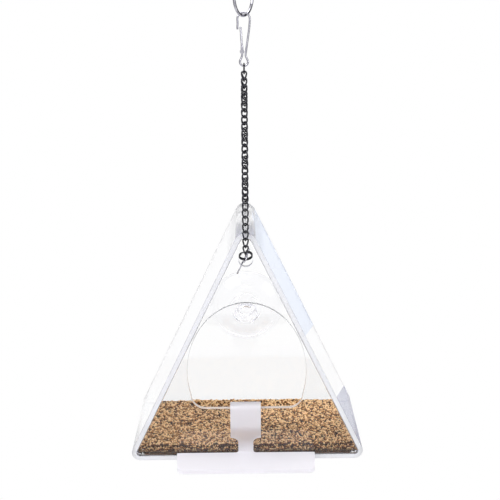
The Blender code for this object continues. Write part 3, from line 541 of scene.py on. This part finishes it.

# %% [markdown]
# A mesh can carry several materials, and each face says which one it wears. The sawn ends
# of the shell are its faces that look straight to the front or back, and its corners with
# painted shade are those that look partly so. The rim of the opening, with its painted
# reflection, is every face that looks inwards, below the chain hole. The rims of both chain
# holes wear the sawn finish too.

# %% Finish the cut edges
STRAIGHT = 0.95                 # share of a face's direction that points to the front or back
PARTLY = 0.15
SAWN_SLOT, PAINTED_CORNER_SLOT, PAINTED_RIM_SLOT = 1, 2, 1   # slot 0 is the clear sheet
OPENING_MIDDLE = Vector((0, 0, FLOOR + 62 * MM))
OPENING_TOP = FLOOR + 112 * MM
HOLE_LEVEL = FLOOR + 136.5 * MM  # a little under the holes' middle
HOLE_REACH = 8 * MM             # from there, past a hole's rim on all sides
sawn_faces = 0
bent_house = panes["bent_house"].data
bent_house.materials.append(sawn)
bent_house.materials.append(corner_painted_shade)
for face in bent_house.polygons:
    if abs(face.normal.y) > STRAIGHT:
        face.material_index = SAWN_SLOT
        sawn_faces += 1
    elif abs(face.normal.y) > PARTLY:
        face.material_index = PAINTED_CORNER_SLOT
rim_faces = 0
front_pane = panes["front_pane"].data
front_pane.materials.append(rim_painted_reflection)
for face in front_pane.polygons:
    outwards = face.center - OPENING_MIDDLE
    outwards.y = 0
    if abs(face.normal.y) < STRAIGHT and face.normal.dot(outwards) < 0 and face.center.z < OPENING_TOP:
        face.material_index = PAINTED_RIM_SLOT
        rim_faces += 1
for title in ("front_pane", "back_pane"):
    pane = panes[title].data
    pane.materials.append(sawn)
    for face in pane.polygons:
        near = abs(face.center.x) < HOLE_REACH and abs(face.center.z - HOLE_LEVEL) < HOLE_REACH
        if near and abs(face.normal.y) < STRAIGHT:
            face.material_index = len(pane.materials) - 1
print(sawn_faces, "sawn faces and", rim_faces, "faces round the opening")

# %% [markdown]
# The perch is one strip bent warm over a former. Its edges are sanded rounder than the
# house's, and frosted with the rest.

# %% Perch
SANDED = 0.45 * MM
perch = deliver(polished("perch", SANDED, sharp=60), "frosted_perch", frosted, "perch", ["perch"],
                smooth_below=30)
print("perch", len(perch.data.polygons), "faces")

# %% [markdown]
# Wire parts are made as a wire bender makes them: a round section is pushed straight or
# turned about a point, one move after the other. Extrude does the straight moves and spin
# does the turns, and each move starts from the ring of edges that the last one left.

# %% A wire bender


def bend_wire(shape, start, heading, thick, moves, sides=12):
    facing = Vector(heading).to_track_quat("Z", "Y").to_matrix().to_4x4()
    made = bmesh.ops.create_circle(
        shape, cap_ends=False, segments=sides, radius=thick / 2,
        matrix=Matrix.Translation(start) @ facing)
    ring = list({edge for vert in made["verts"] for edge in vert.link_edges})
    for move in moves:
        if move[0] == "push":
            for _ in range(move[2]):
                grown = bmesh.ops.extrude_edge_only(shape, edges=ring)["geom"]
                ring = [item for item in grown if isinstance(item, bmesh.types.BMEdge)
                        and all(v in grown for v in item.verts) and len(item.link_faces) == 1]
                moved = [item for item in grown if isinstance(item, bmesh.types.BMVert)]
                bmesh.ops.translate(shape, vec=Vector(move[1]) / move[2], verts=moved)
        else:
            _, centre, axis, angle, steps, rise = move
            turned = bmesh.ops.spin(
                shape, geom=ring, cent=centre, axis=axis, dvec=Vector(rise) / steps,
                angle=angle, steps=steps, use_merge=False)["geom_last"]
            ring = [item for item in turned if isinstance(item, bmesh.types.BMEdge)]


def outward(shape):
    bmesh.ops.remove_doubles(shape, verts=shape.verts, dist=WELD)
    bmesh.ops.recalc_face_normals(shape, faces=shape.faces)


print("wire bender ready")

# %% [markdown]
# A curb link starts as a flat oval. Each end is then turned 45 degrees out of the middle,
# one this way and one that way, so that neighbours lie flat in each other. Turning every
# corner by its height along the link does just that.

# %% One curb link
LINK_WIRE = 1.0 * MM
LINK_HALF_WIDTH = 1.65 * MM     # to the middle of the wire
LINK_HALF_LENGTH = 2.865 * MM
LINK_TWIST = math.radians(45)
SIDE_STEPS = 4                  # pushes along a straight side, which the twist bends
BOW_STEPS = 10


def oval(half_width, half_length, side_steps, bow_steps):
    # A closed upright oval of link wire: one side, a half turn, the other side, a half turn
    straight = half_length - half_width
    shape = bmesh.new()
    bend_wire(shape, (half_width, 0, -straight), (0, 0, 1), LINK_WIRE, [
        ("push", (0, 0, 2 * straight), side_steps),
        ("turn", (0, 0, straight), (0, -1, 0), math.pi, bow_steps, (0, 0, 0)),
        ("push", (0, 0, -2 * straight), side_steps),
        ("turn", (0, 0, -straight), (0, -1, 0), math.pi, bow_steps, (0, 0, 0)),
    ])
    outward(shape)
    return shape


def curb_link(half_length):
    shape = oval(LINK_HALF_WIDTH, half_length, SIDE_STEPS, BOW_STEPS)
    for corner in shape.verts:
        twist = Matrix.Rotation(LINK_TWIST * corner.co.z / half_length, 3, "Z")
        corner.co = twist @ corner.co
    return shape


sample = curb_link(LINK_HALF_LENGTH)
print("one link:", len(sample.faces), "faces")
sample.free()

# %% [markdown]
# Each leg is a row of such links. A link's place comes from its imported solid, and its turn
# about the leg from the way a hanging curb chain slowly winds: the middle of the leg is
# turned furthest. The highest four links of a leg are packed as two pairs.

# %% Both legs of the chain
LINKS_PER_LEG = 25
FIRST_PAIR = 22                 # number of the first node that holds two links; the last is two on
LINK_PITCH = 4.43 * MM
PAIR_STEP = 0.55 * MM           # how much further apart the two links of a packed pair are
LEG_WIND = math.radians(55)     # extra turn of the links in the middle of a leg


def middle_of(node):
    low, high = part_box(node)
    return (low + high) / 2


def lay_leg(leg, turn_round):
    foot = middle_of(f"{leg}_link_01")
    upwards = (middle_of(f"{leg}_link_{FIRST_PAIR - 1}") - foot).normalized()
    lean = Vector((0, 0, 1)).rotation_difference(upwards).to_matrix().to_4x4()
    for number in [*range(1, FIRST_PAIR + 1), FIRST_PAIR + 2]:
        name = f"{leg}_link_{number:02d}"
        paired = number >= FIRST_PAIR
        half_length = LINK_HALF_LENGTH + (PAIR_STEP / 4 if paired else 0)
        offsets = (-1, 1) if paired else (0,)
        whole = bmesh.new()
        for step, offset in enumerate(offsets):
            share = (number - 1 + step) / (LINKS_PER_LEG - 1)
            turn = LEG_WIND * math.sin(math.pi * share) - LINK_TWIST + turn_round
            along = offset * (LINK_PITCH / 2 + PAIR_STEP / 4)
            link = curb_link(half_length)
            link.transform(Matrix.Translation(middle_of(name) + upwards * along) @ lean
                           @ Matrix.Rotation(turn, 4, "Z"))
            part = bpy.data.meshes.new("link")
            link.to_mesh(part)
            link.free()
            whole.from_mesh(part)
            bpy.data.meshes.remove(part)
        deliver(whole, name.replace("link", "curb"), gunmetal, "legs", [name],
                smooth_below=70)


lay_leg("front", 0.0)
lay_leg("back", math.pi)

# %% [markdown]
# The link on the hook's eye is a plain oval that nobody twisted. The split rings are two
# turns of thin wire side by side, made with one long helical turn.

# %% Centre link and split rings
OVAL_HALF_WIDTH = 2.6 * MM
OVAL_HALF_LENGTH = 3.1 * MM
RING_RADIUS = 3.9 * MM
RING_WIRE = 0.8 * MM
RING_PITCH = 1.0 * MM
RING_START = math.radians(135)
RING_TURNS = 2 - 2 / 16         # the ends stop a little short of two whole turns
RING_STEPS = 96
RING_SIDES = 14
RING_LEAN = 4.9 * MM            # level distance from a ring's top to its foot

shape = oval(OVAL_HALF_WIDTH, OVAL_HALF_LENGTH, side_steps=2, bow_steps=16)
shape.transform(Matrix.Translation(middle_of("centre_link")) @ Matrix.Rotation(math.pi / 2, 4, "Z"))
deliver(shape, "centre_oval", gunmetal, "centre", ["centre_link"], smooth_below=70)

for leg, turn_round in (("front", 0.0), ("back", math.pi)):
    node = f"{leg}_split_ring"
    low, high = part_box(node)
    tilt = math.asin(RING_LEAN / (2 * RING_RADIUS))
    shape = bmesh.new()
    start = Vector((RING_RADIUS * math.cos(RING_START), 0, RING_RADIUS * math.sin(RING_START)))
    heading = Vector((-math.sin(RING_START), 0, math.cos(RING_START)))
    climb = RING_PITCH * RING_TURNS
    bend_wire(shape, start - Vector((0, climb / 2, 0)), heading, RING_WIRE, [
        ("turn", (0, 0, 0), (0, -1, 0), 2 * math.pi * RING_TURNS, RING_STEPS, (0, climb, 0)),
    ], sides=RING_SIDES)
    bmesh.ops.holes_fill(shape, edges=shape.edges, sides=0)
    outward(shape)
    spot = Matrix.Rotation(turn_round, 4, "Z") @ Matrix.Rotation(tilt, 4, "X")
    shape.transform(Matrix.Translation((low + high) / 2) @ spot)
    ring = deliver(shape, f"{leg}_ring_coil", gunmetal, "legs", [node], smooth_below=70)
    print(node, "packed", [round(v / MM, 2) for v in high - low], "made",
          [round(v / MM, 2) for v in ring.dimensions])

# %% [markdown]
# The suction cup is a lathe job: half its section is drawn from the head to the rim and
# back through the hollow, and spun once round. The head is a flat mushroom with a ring
# groove and a small dimple where the mould was fed, as such cups have.

# %% Suction cup
CUP_LOW, CUP_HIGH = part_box("suction_cup")
CUP_CENTRE = (CUP_LOW + CUP_HIGH) / 2
CUP_RADIUS = (CUP_HIGH.x - CUP_LOW.x) / 2
SEAT = 0.3 * MM                 # room between the cup and the panel
HEAD_RADIUS = 7.9 * MM
NECK_RADIUS = 2.9 * MM
FLANGE_RADIUS = 12.5 * MM
SHEET = 3.0 * MM
HEAD_FRONT = CUP_LOW.y
HEAD_BACK = BACK - SHEET - SEAT
FLANGE = BACK + SEAT
RIM = CUP_HIGH.y
CUP_STEPS = 72

section = [                     # distance from the axis, and depth
    (0.0, HEAD_FRONT + 0.9 * MM),
    (0.9 * MM, HEAD_FRONT + 0.8 * MM),
    (1.7 * MM, HEAD_FRONT + 0.2 * MM),
    (2.6 * MM, HEAD_FRONT),
    (4.0 * MM, HEAD_FRONT + 0.25 * MM),
    (4.5 * MM, HEAD_FRONT + 0.75 * MM),
    (5.0 * MM, HEAD_FRONT + 0.45 * MM),
    (6.6 * MM, HEAD_FRONT + 1.2 * MM),
    (7.6 * MM, HEAD_FRONT + 2.2 * MM),
    (HEAD_RADIUS, HEAD_FRONT + 3.0 * MM),
    (7.7 * MM, HEAD_BACK - 0.3 * MM),
    (7.2 * MM, HEAD_BACK),
    (NECK_RADIUS + 0.3 * MM, HEAD_BACK),
    (NECK_RADIUS, HEAD_BACK + 0.3 * MM),
    (NECK_RADIUS, FLANGE - 0.3 * MM),
    (NECK_RADIUS + 0.3 * MM, FLANGE),
    (FLANGE_RADIUS - 0.4 * MM, FLANGE),
    (FLANGE_RADIUS, FLANGE + 0.4 * MM),
    (FLANGE_RADIUS, FLANGE + 2.0 * MM),
    (FLANGE_RADIUS + 0.8 * MM, FLANGE + 2.5 * MM),
    (17.5 * MM, FLANGE + 3.3 * MM),
    (21.5 * MM, FLANGE + 5.0 * MM),
    (24.3 * MM, FLANGE + 7.0 * MM),
    (CUP_RADIUS - 0.3 * MM, FLANGE + 8.4 * MM),
    (CUP_RADIUS, FLANGE + 8.9 * MM),
    (CUP_RADIUS, RIM - 0.4 * MM),
    (CUP_RADIUS - 0.5 * MM, RIM),
    (CUP_RADIUS - 2.2 * MM, RIM - 0.1 * MM),
    (22.2 * MM, RIM - 2.2 * MM),
    (18.5 * MM, FLANGE + 6.6 * MM),
    (14.0 * MM, FLANGE + 5.5 * MM),
    (7.0 * MM, FLANGE + 5.2 * MM),
    (0.0, FLANGE + 5.2 * MM),
]
shape = bmesh.new()
corners = [shape.verts.new((radius, depth, 0)) for radius, depth in section]
edges = [shape.edges.new(pair) for pair in zip(corners, corners[1:])]
bmesh.ops.spin(shape, geom=corners + edges, cent=(0, 0, 0), axis=(0, 1, 0), angle=2 * math.pi,
               steps=CUP_STEPS, use_merge=True)
outward(shape)
bmesh.ops.translate(shape, vec=(CUP_CENTRE.x, 0, CUP_CENTRE.z), verts=shape.verts)
cup = deliver(shape, "vinyl_cup", vinyl, "cup", ["suction_cup"], smooth_below=50)
print("cup", [round(v / MM, 1) for v in cup.dimensions], "packed",
      [round(v / MM, 1) for v in CUP_HIGH - CUP_LOW])

# %% [markdown]
# The seed is what the eye goes to. A heap of grains is not a bumpy slab: each grain has
# its own tone, lies its own way and throws a small shadow. So the layer is about ten
# thousand grains over a dark bed. One grain is a round ball drawn out and pinched at one
# end, and it has few faces, because it is repeated so often.

# %% One grain
GRAIN_LENGTH = 1.8 * MM
GRAIN_WIDTH = 1.4 * MM
GRAIN_HEIGHT = 1.3 * MM
GRAIN_SIDES = 6
GRAIN_RINGS = 4
PINCH_SHARE = 0.35              # how much thinner its tip is
BALL_RADIUS = 1 / 2             # a ball one unit across, which the grain's sizes then scale

shape = bmesh.new()
bmesh.ops.create_uvsphere(shape, u_segments=GRAIN_SIDES, v_segments=GRAIN_RINGS, radius=BALL_RADIUS)
bmesh.ops.rotate(shape, cent=(0, 0, 0), matrix=Matrix.Rotation(math.pi / 2, 3, "Y"), verts=shape.verts)
for corner in shape.verts:
    pinch = 1 - PINCH_SHARE * max(corner.co.x, 0) / BALL_RADIUS
    corner.co.y *= pinch
    corner.co.z *= pinch
bmesh.ops.scale(shape, vec=(GRAIN_LENGTH, GRAIN_WIDTH, GRAIN_HEIGHT), verts=shape.verts)
grain_mesh = bpy.data.meshes.new("grain")
shape.to_mesh(grain_mesh)
shape.free()
grain_mesh.attributes.new("tone", "FLOAT", "POINT")
GRAIN_CORNERS = len(grain_mesh.vertices)
grain_shape = np.zeros(GRAIN_CORNERS * 3)
grain_mesh.vertices.foreach_get("co", grain_shape)
print("one grain:", len(grain_mesh.polygons), "faces")

# %% [markdown]
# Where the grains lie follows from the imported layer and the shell: a top with low waves,
# as pouring leaves them, a short slope at its borders, and grains pressed against the
# front pane and down into the two bends of the floor.

# %% How far the seed reaches
SEED_LOW, SEED_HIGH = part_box("seed_fill")
FLOOR_HALF_SPAN = 79.0 * MM     # to the corner that the floor and a wall would make unrounded
WALL_LEAN = 79.0 / 164.0        # sideways for each step up
WALL_FOOT = 3.5 * MM            # the sheet, measured level, and a little room
BEND_RADIUS = 2.5 * MM          # inside of the floor's two bends
BEND_START = 70.2 * MM          # where the flat floor ends
SEED_TAPER = 8.5 * MM           # each side draws in by this towards the back
SHOULDER = 2.4 * MM             # breadth of the slope at the borders
BORDER_SHARE = 0.86             # height left at the border
WAVE = 13.0 * MM
WAVE_RISE = 0.9 * MM            # from the lowest to the highest
WAVE_TURN = math.radians(20)
DEPTH = SEED_HIGH.y - SEED_LOW.y
BASE = SEED_LOW.z
TOP = SEED_HIGH.z - WAVE_RISE / 2


def half_width(depth, height):
    # How far the layer reaches to each side, this deep into the house and this high
    over_floor = height - BASE
    wall = FLOOR_HALF_SPAN - (SHEET + over_floor) * WALL_LEAN - WALL_FOOT
    under = max(BEND_RADIUS - over_floor, 0.0)
    bend = BEND_START + math.sqrt(max(BEND_RADIUS**2 - under**2, 0.0))
    return min(wall, bend) - SEED_TAPER * (depth - SEED_LOW.y) / DEPTH


def surface(across, depth):
    # Height of the layer's top, with its sloping borders and its low waves
    room = min(half_width(depth, TOP) - abs(across), SEED_HIGH.y - depth)
    inland = min(max(room / SHOULDER, 0.0), 1.0)
    along = across * math.cos(WAVE_TURN) + depth * math.sin(WAVE_TURN)
    sideways = depth * math.cos(WAVE_TURN) - across * math.sin(WAVE_TURN)
    wave = math.cos(2 * math.pi * along / WAVE) + math.cos(2 * math.pi * sideways / WAVE)
    rise = BORDER_SHARE + (1 - BORDER_SHARE) * math.sin(inland * math.pi / 2)
    return BASE + (TOP - BASE) * rise + WAVE_RISE / 4 * wave * inland


print("seed reaches", [round(half_width(depth, TOP) / MM, 1) for depth in (SEED_LOW.y, SEED_HIGH.y)], "mm")

# %% [markdown]
# A square grid of grains would show, so every second row is shifted by half a step and
# each grain is moved a little at random. Two layers make the top, and upright grains close
# the four sides.

# %% Spread the grains
STEP = 1.45 * MM
ROW_SHARE = 0.87                # of a step: shifted rows of round grains lie closer together
ROW = STEP * ROW_SHARE
LAYER_SHARE = 0.4               # of a step, by which the upper layer is shifted
LAYER_DROP = 1.1 * MM           # lower layer under the upper one, and row under row at the sides
BURIED = 0.3                    # of a grain's tone, in the lower layer, where little light gets
ASIDE = 0.25 * MM               # how far a grain usually lies from its place in the grid
LIFT = 0.3 * MM
PANE_ASIDE = 0.2 * MM
PANE_BEHIND = 0.1 * MM
WALL_BEHIND = 0.15 * MM
SEED_OF_CHANCE = 7
chance = np.random.default_rng(SEED_OF_CHANCE)
spots = []
for layer, rise in enumerate((-LAYER_DROP, 0.0)):
    for row in range(int(DEPTH / ROW) + 1):
        depth = SEED_LOW.y + GRAIN_WIDTH / 2 + row * ROW + layer * STEP * LAYER_SHARE
        reach = half_width(depth, TOP)
        for column in range(int(2 * reach / STEP) + 1):
            shifted = column + (row + layer) % 2 / 2
            across = -reach + shifted * STEP + chance.normal(0, ASIDE)
            deep = depth + chance.normal(0, ASIDE)
            deep = min(max(deep, SEED_LOW.y + GRAIN_WIDTH / 2), SEED_HIGH.y - GRAIN_WIDTH / 2)
            if abs(across) > half_width(deep, TOP) - GRAIN_WIDTH / 3:
                continue
            height = surface(across, deep) - GRAIN_HEIGHT / 2 + rise + abs(chance.normal(0, LIFT))
            spots.append((across, deep, height, False, 1.0 if layer else BURIED))
level = BASE + GRAIN_HEIGHT / 2
while level < TOP - GRAIN_HEIGHT / 2:
    for depth in (SEED_LOW.y + GRAIN_HEIGHT / 2, SEED_HIGH.y - GRAIN_HEIGHT):
        reach = half_width(depth, level) - GRAIN_WIDTH / 2
        count = int(2 * reach / STEP)
        for column in range(count + 1):
            across = -reach + 2 * reach * column / count + chance.normal(0, PANE_ASIDE)
            across = min(max(across, -reach), reach)
            high = level + chance.normal(0, LIFT)
            spots.append((across, depth + abs(chance.normal(0, PANE_BEHIND)), high, True, 1.0))
    for sign in (-1, 1):
        depth = SEED_LOW.y + GRAIN_WIDTH
        while depth < SEED_HIGH.y - GRAIN_WIDTH:
            inwards = GRAIN_WIDTH / 2 + abs(chance.normal(0, WALL_BEHIND))
            across = sign * (half_width(depth, level) - inwards)
            spots.append((across, depth, level + chance.normal(0, LIFT), True, 1.0))
            depth += STEP
    level += LAYER_DROP
print(len(spots), "grains")

# %% [markdown]
# The grains are copied into a few large pieces. A tone between 0 and 1 is written on each
# one, and the material reads it, so that two neighbours are never quite the same brown.
# A grain's own height adds painted light and shade to it: its upper side is painted paler
# and its lower side darker, which parts one grain from the next. No grain reaches into the
# pane or the floor.

# %% Fill the pieces with grains
GRAINS_PER_PIECE = 4000
SIZE_SPREAD = 0.08
TIP_SPREAD = 0.35               # radians
TONE_MIDDLE = 0.47
TONE_SPREAD = 0.38
# Painted light and shade on each grain, added to its tone from its foot to its top
PAINTED_TOP_LIGHT = 1.00                   # tone from a grain's foot to its top
PANE_ROOM = 0.05 * MM
PANE_INSIDE = FRONT + SHEET + PANE_ROOM
seed_pieces = []
chance.shuffle(spots)
for first_grain in range(0, len(spots), GRAINS_PER_PIECE):
    heap = bmesh.new()
    for across, depth, height, upright, light in spots[first_grain:first_grain + GRAINS_PER_PIECE]:
        size = 1.0 + chance.normal(0, SIZE_SPREAD)
        yaw = Matrix.Rotation(chance.uniform(0, 2 * math.pi), 4, "Z")
        pitch = Matrix.Rotation(chance.normal(0, TIP_SPREAD), 4, "Y")
        roll = Matrix.Rotation(chance.uniform(0, 2 * math.pi), 4, "X")
        lay = yaw @ pitch @ roll
        if upright:
            lay = Matrix.Rotation(math.pi / 2, 4, "X") @ lay
        grain_mesh.vertices.foreach_set("co", grain_shape)
        grain_mesh.transform(Matrix.Translation((across, depth, height)) @ lay @ Matrix.Scale(size, 4))
        # Painted light and shade: the upper side of each grain gets a paler tone, the lower side a darker
        # one
        painted_heights = [(corner.co.z - height) / GRAIN_HEIGHT for corner in grain_mesh.vertices]
        own = chance.normal(TONE_MIDDLE, TONE_SPREAD)
        tones = [min(max(own + PAINTED_TOP_LIGHT * share, 0.0), 1.0) * light for share in painted_heights]
        grain_mesh.attributes["tone"].data.foreach_set("value", tones)
        heap.from_mesh(grain_mesh)
    for corner in heap.verts:
        corner.co.y = max(corner.co.y, PANE_INSIDE)
        corner.co.z = max(corner.co.z, BASE)
    mesh = bpy.data.meshes.new(f"seed_grains_{len(seed_pieces) + 1}")
    heap.to_mesh(mesh)
    heap.free()
    mesh.shade_smooth()
    piece = bpy.data.objects.new(mesh.name, mesh)
    bpy.context.scene.collection.objects.link(piece)
    seed_pieces.append(piece)
bpy.data.meshes.remove(grain_mesh)
print([(piece.name, len(piece.data.polygons)) for piece in seed_pieces])

# %% [markdown]
# Small round seed of this kind runs from straw to dark brown. Each grain's tone picks its
# colour from a ramp, and fine noise adds the darker skin marks and the creases. The skin
# is dry, with a slightly waxy sheen. Painted shade darkens the foot of the layer.

# %% Seed husk
SKIN_MARK = 0.8 * MM
CREASE_DEPTH = 0.1 * MM
PAINTED_SHADE_FOOT = BASE + 1.0 * MM     # darkest from here down
PAINTED_SHADE_TOP = BASE + 3.8 * MM      # and unshaded from here up
husk, tree, shader = new_material("dry_seed_husk", roughness=0.5, ior=1.46)
own = add(tree, "ShaderNodeAttribute", attribute_name="tone")
tones = add(tree, "ShaderNodeValToRGB", {"Fac": own.outputs["Fac"]})
ramp = tones.color_ramp
ramp.elements[0].position = 0.02
ramp.elements[0].color = linear("#2A1409")
ramp.elements[1].position = 0.98
ramp.elements[1].color = linear("#FFD9A4")
for position, colour in ((0.22, "#4E2A12"), (0.45, "#8E5629"), (0.70, "#CD9252")):
    ramp.elements.new(position).color = linear(colour)
place = add(tree, "ShaderNodeTexCoord")
skin = add(tree, "ShaderNodeTexNoise", {
    "Vector": place.outputs["Object"], "Scale": 1 / SKIN_MARK, "Detail": 3.0})
marks = add(tree, "ShaderNodeMapRange", {
    "Value": skin.outputs["Fac"], "From Min": 0.3, "From Max": 0.7, "To Min": 0.72, "To Max": 1.12})
# In a Mix node set to colour, socket 0 is the factor and sockets 6 and 7 are the two colours
shaded = add(tree, "ShaderNodeMix", {0: 1.0, 6: tones.outputs["Color"], 7: marks.outputs["Result"]},
             data_type="RGBA", blend_type="MULTIPLY")
spot = add(tree, "ShaderNodeSeparateXYZ", {0: place.outputs["Object"]})
# Painted shade: the grains darken towards the foot of the layer, down to a tenth of their colour
foot_shade = add(tree, "ShaderNodeMapRange", {
    "Value": spot.outputs["Z"], "From Min": PAINTED_SHADE_FOOT, "From Max": PAINTED_SHADE_TOP,
    "To Min": 0.10, "To Max": 1.0})
foot_shaded = add(tree, "ShaderNodeMix", {0: 1.0, 6: shaded.outputs[2], 7: foot_shade.outputs["Result"]},
            data_type="RGBA", blend_type="MULTIPLY")
tree.links.new(foot_shaded.outputs[2], shader.inputs["Base Color"])
creases = add(tree, "ShaderNodeBump", {
    "Height": skin.outputs["Fac"], "Strength": 0.3, "Distance": CREASE_DEPTH})
tree.links.new(creases.outputs["Normal"], shader.inputs["Normal"])
for piece in seed_pieces:
    piece.data.materials.append(husk)
    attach(piece, "house")
    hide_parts("seed_fill")
print("seed colours:", len(ramp.elements))

# %% [markdown]
# Under the grains lies a dark bed, painted shade for the gaps between them, so that nobody
# sees the bare floor between two of them. It is the imported layer again, drawn in at the
# sides, the back and the top by more than half a grain. It stays close to the pane in front
# and on the floor.

# %% Dark bed
SHADE_SPECK = 1.5 * MM
BED_IN = 1.3 * MM
BED_FRONT = 0.30 * MM           # at the foot, and from there the bed slopes up and back
BED_SLOPE = 1.0 * MM
BED_FOOT = -0.25 * MM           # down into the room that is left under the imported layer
# Painted shade: a dark brown bed with darker and lighter specks stands for the shade between the grains
bed_shade_paint, tree, shader = new_material("seed_bed_painted_shade", base_color=linear("#4A2E18"), roughness=0.9)
place = add(tree, "ShaderNodeTexCoord")
shade_specks = add(tree, "ShaderNodeTexNoise", {
    "Vector": place.outputs["Object"], "Scale": 1 / SHADE_SPECK, "Detail": 3.0})
tones = add(tree, "ShaderNodeValToRGB", {"Fac": shade_specks.outputs["Fac"]})
tones.color_ramp.elements[0].color = linear("#2C1A0D")
tones.color_ramp.elements[1].color = linear("#6B4423")
tree.links.new(tones.outputs["Color"], shader.inputs["Base Color"])
shape = bmesh.new()
shape.from_mesh(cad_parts["seed_fill"].data)
bmesh.ops.remove_doubles(shape, verts=shape.verts, dist=WELD)
bmesh.ops.recalc_face_normals(shape, faces=shape.faces)
bed_low = SEED_LOW + Vector((BED_IN, BED_FRONT, BED_FOOT))
bed_high = SEED_HIGH - Vector((BED_IN, BED_IN, BED_IN))
span = SEED_HIGH - SEED_LOW
for corner in shape.verts:
    share = [(c - low) / whole for c, low, whole in zip(corner.co, SEED_LOW, span)]
    corner.co = [low + part * (high - low) for part, low, high in zip(share, bed_low, bed_high)]
    corner.co.y += BED_SLOPE * share[2] * (1 - share[1])
bed = deliver(shape, "seed_bed", bed_shade_paint, "house", ["seed_fill"], smooth_below=60)
print("bed", [round(v / MM, 1) for v in bed.dimensions])

# %% [markdown]
# The bright wires are packed with few sides. A welded copy of each has its triangles
# joined to four-sided faces, and subdivision makes it a round wire. Where a cut end or a
# sharp edge has to stay, the edge is creased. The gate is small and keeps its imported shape,
# with the same plate.

# %% Bright parts
ROUNDING = 2                    # each four-sided face becomes sixteen
JOIN_BEND = math.radians(40)    # joined triangles meet at less than this
JOIN_SKEW = math.radians(70)    # and their four corners are off square by less than this
KEPT_EDGE = math.radians(75)
for node, title, body in (
        ("hanger_ring", "round_ring", "hanger"),
        ("snap_hook", "bent_hook", "hook"),
        ("front_toggle", "front_bar_and_loop", "legs"),
        ("back_toggle", "back_bar_and_loop", "legs")):
    shape = bmesh.new()
    shape.from_mesh(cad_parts[node].data)
    bmesh.ops.remove_doubles(shape, verts=shape.verts, dist=WELD)
    bmesh.ops.join_triangles(
        shape, faces=shape.faces, angle_face_threshold=JOIN_BEND, angle_shape_threshold=JOIN_SKEW)
    crease = shape.edges.layers.float.new("crease_edge")
    for edge in shape.edges:
        if len(edge.link_faces) == 2 and edge.calc_face_angle() > KEPT_EDGE:
            edge[crease] = 1.0
    wire = deliver(shape, title, nickel, body, [node], smooth_below=80)
    rounder = wire.modifiers.new("round_wire", "SUBSURF")
    rounder.levels = ROUNDING
    rounder.render_levels = ROUNDING
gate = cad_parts["snap_gate"]
gate.data.materials.clear()
gate.data.materials.append(nickel)
print("nickel on the hook, its gate, the ring and both toggles")
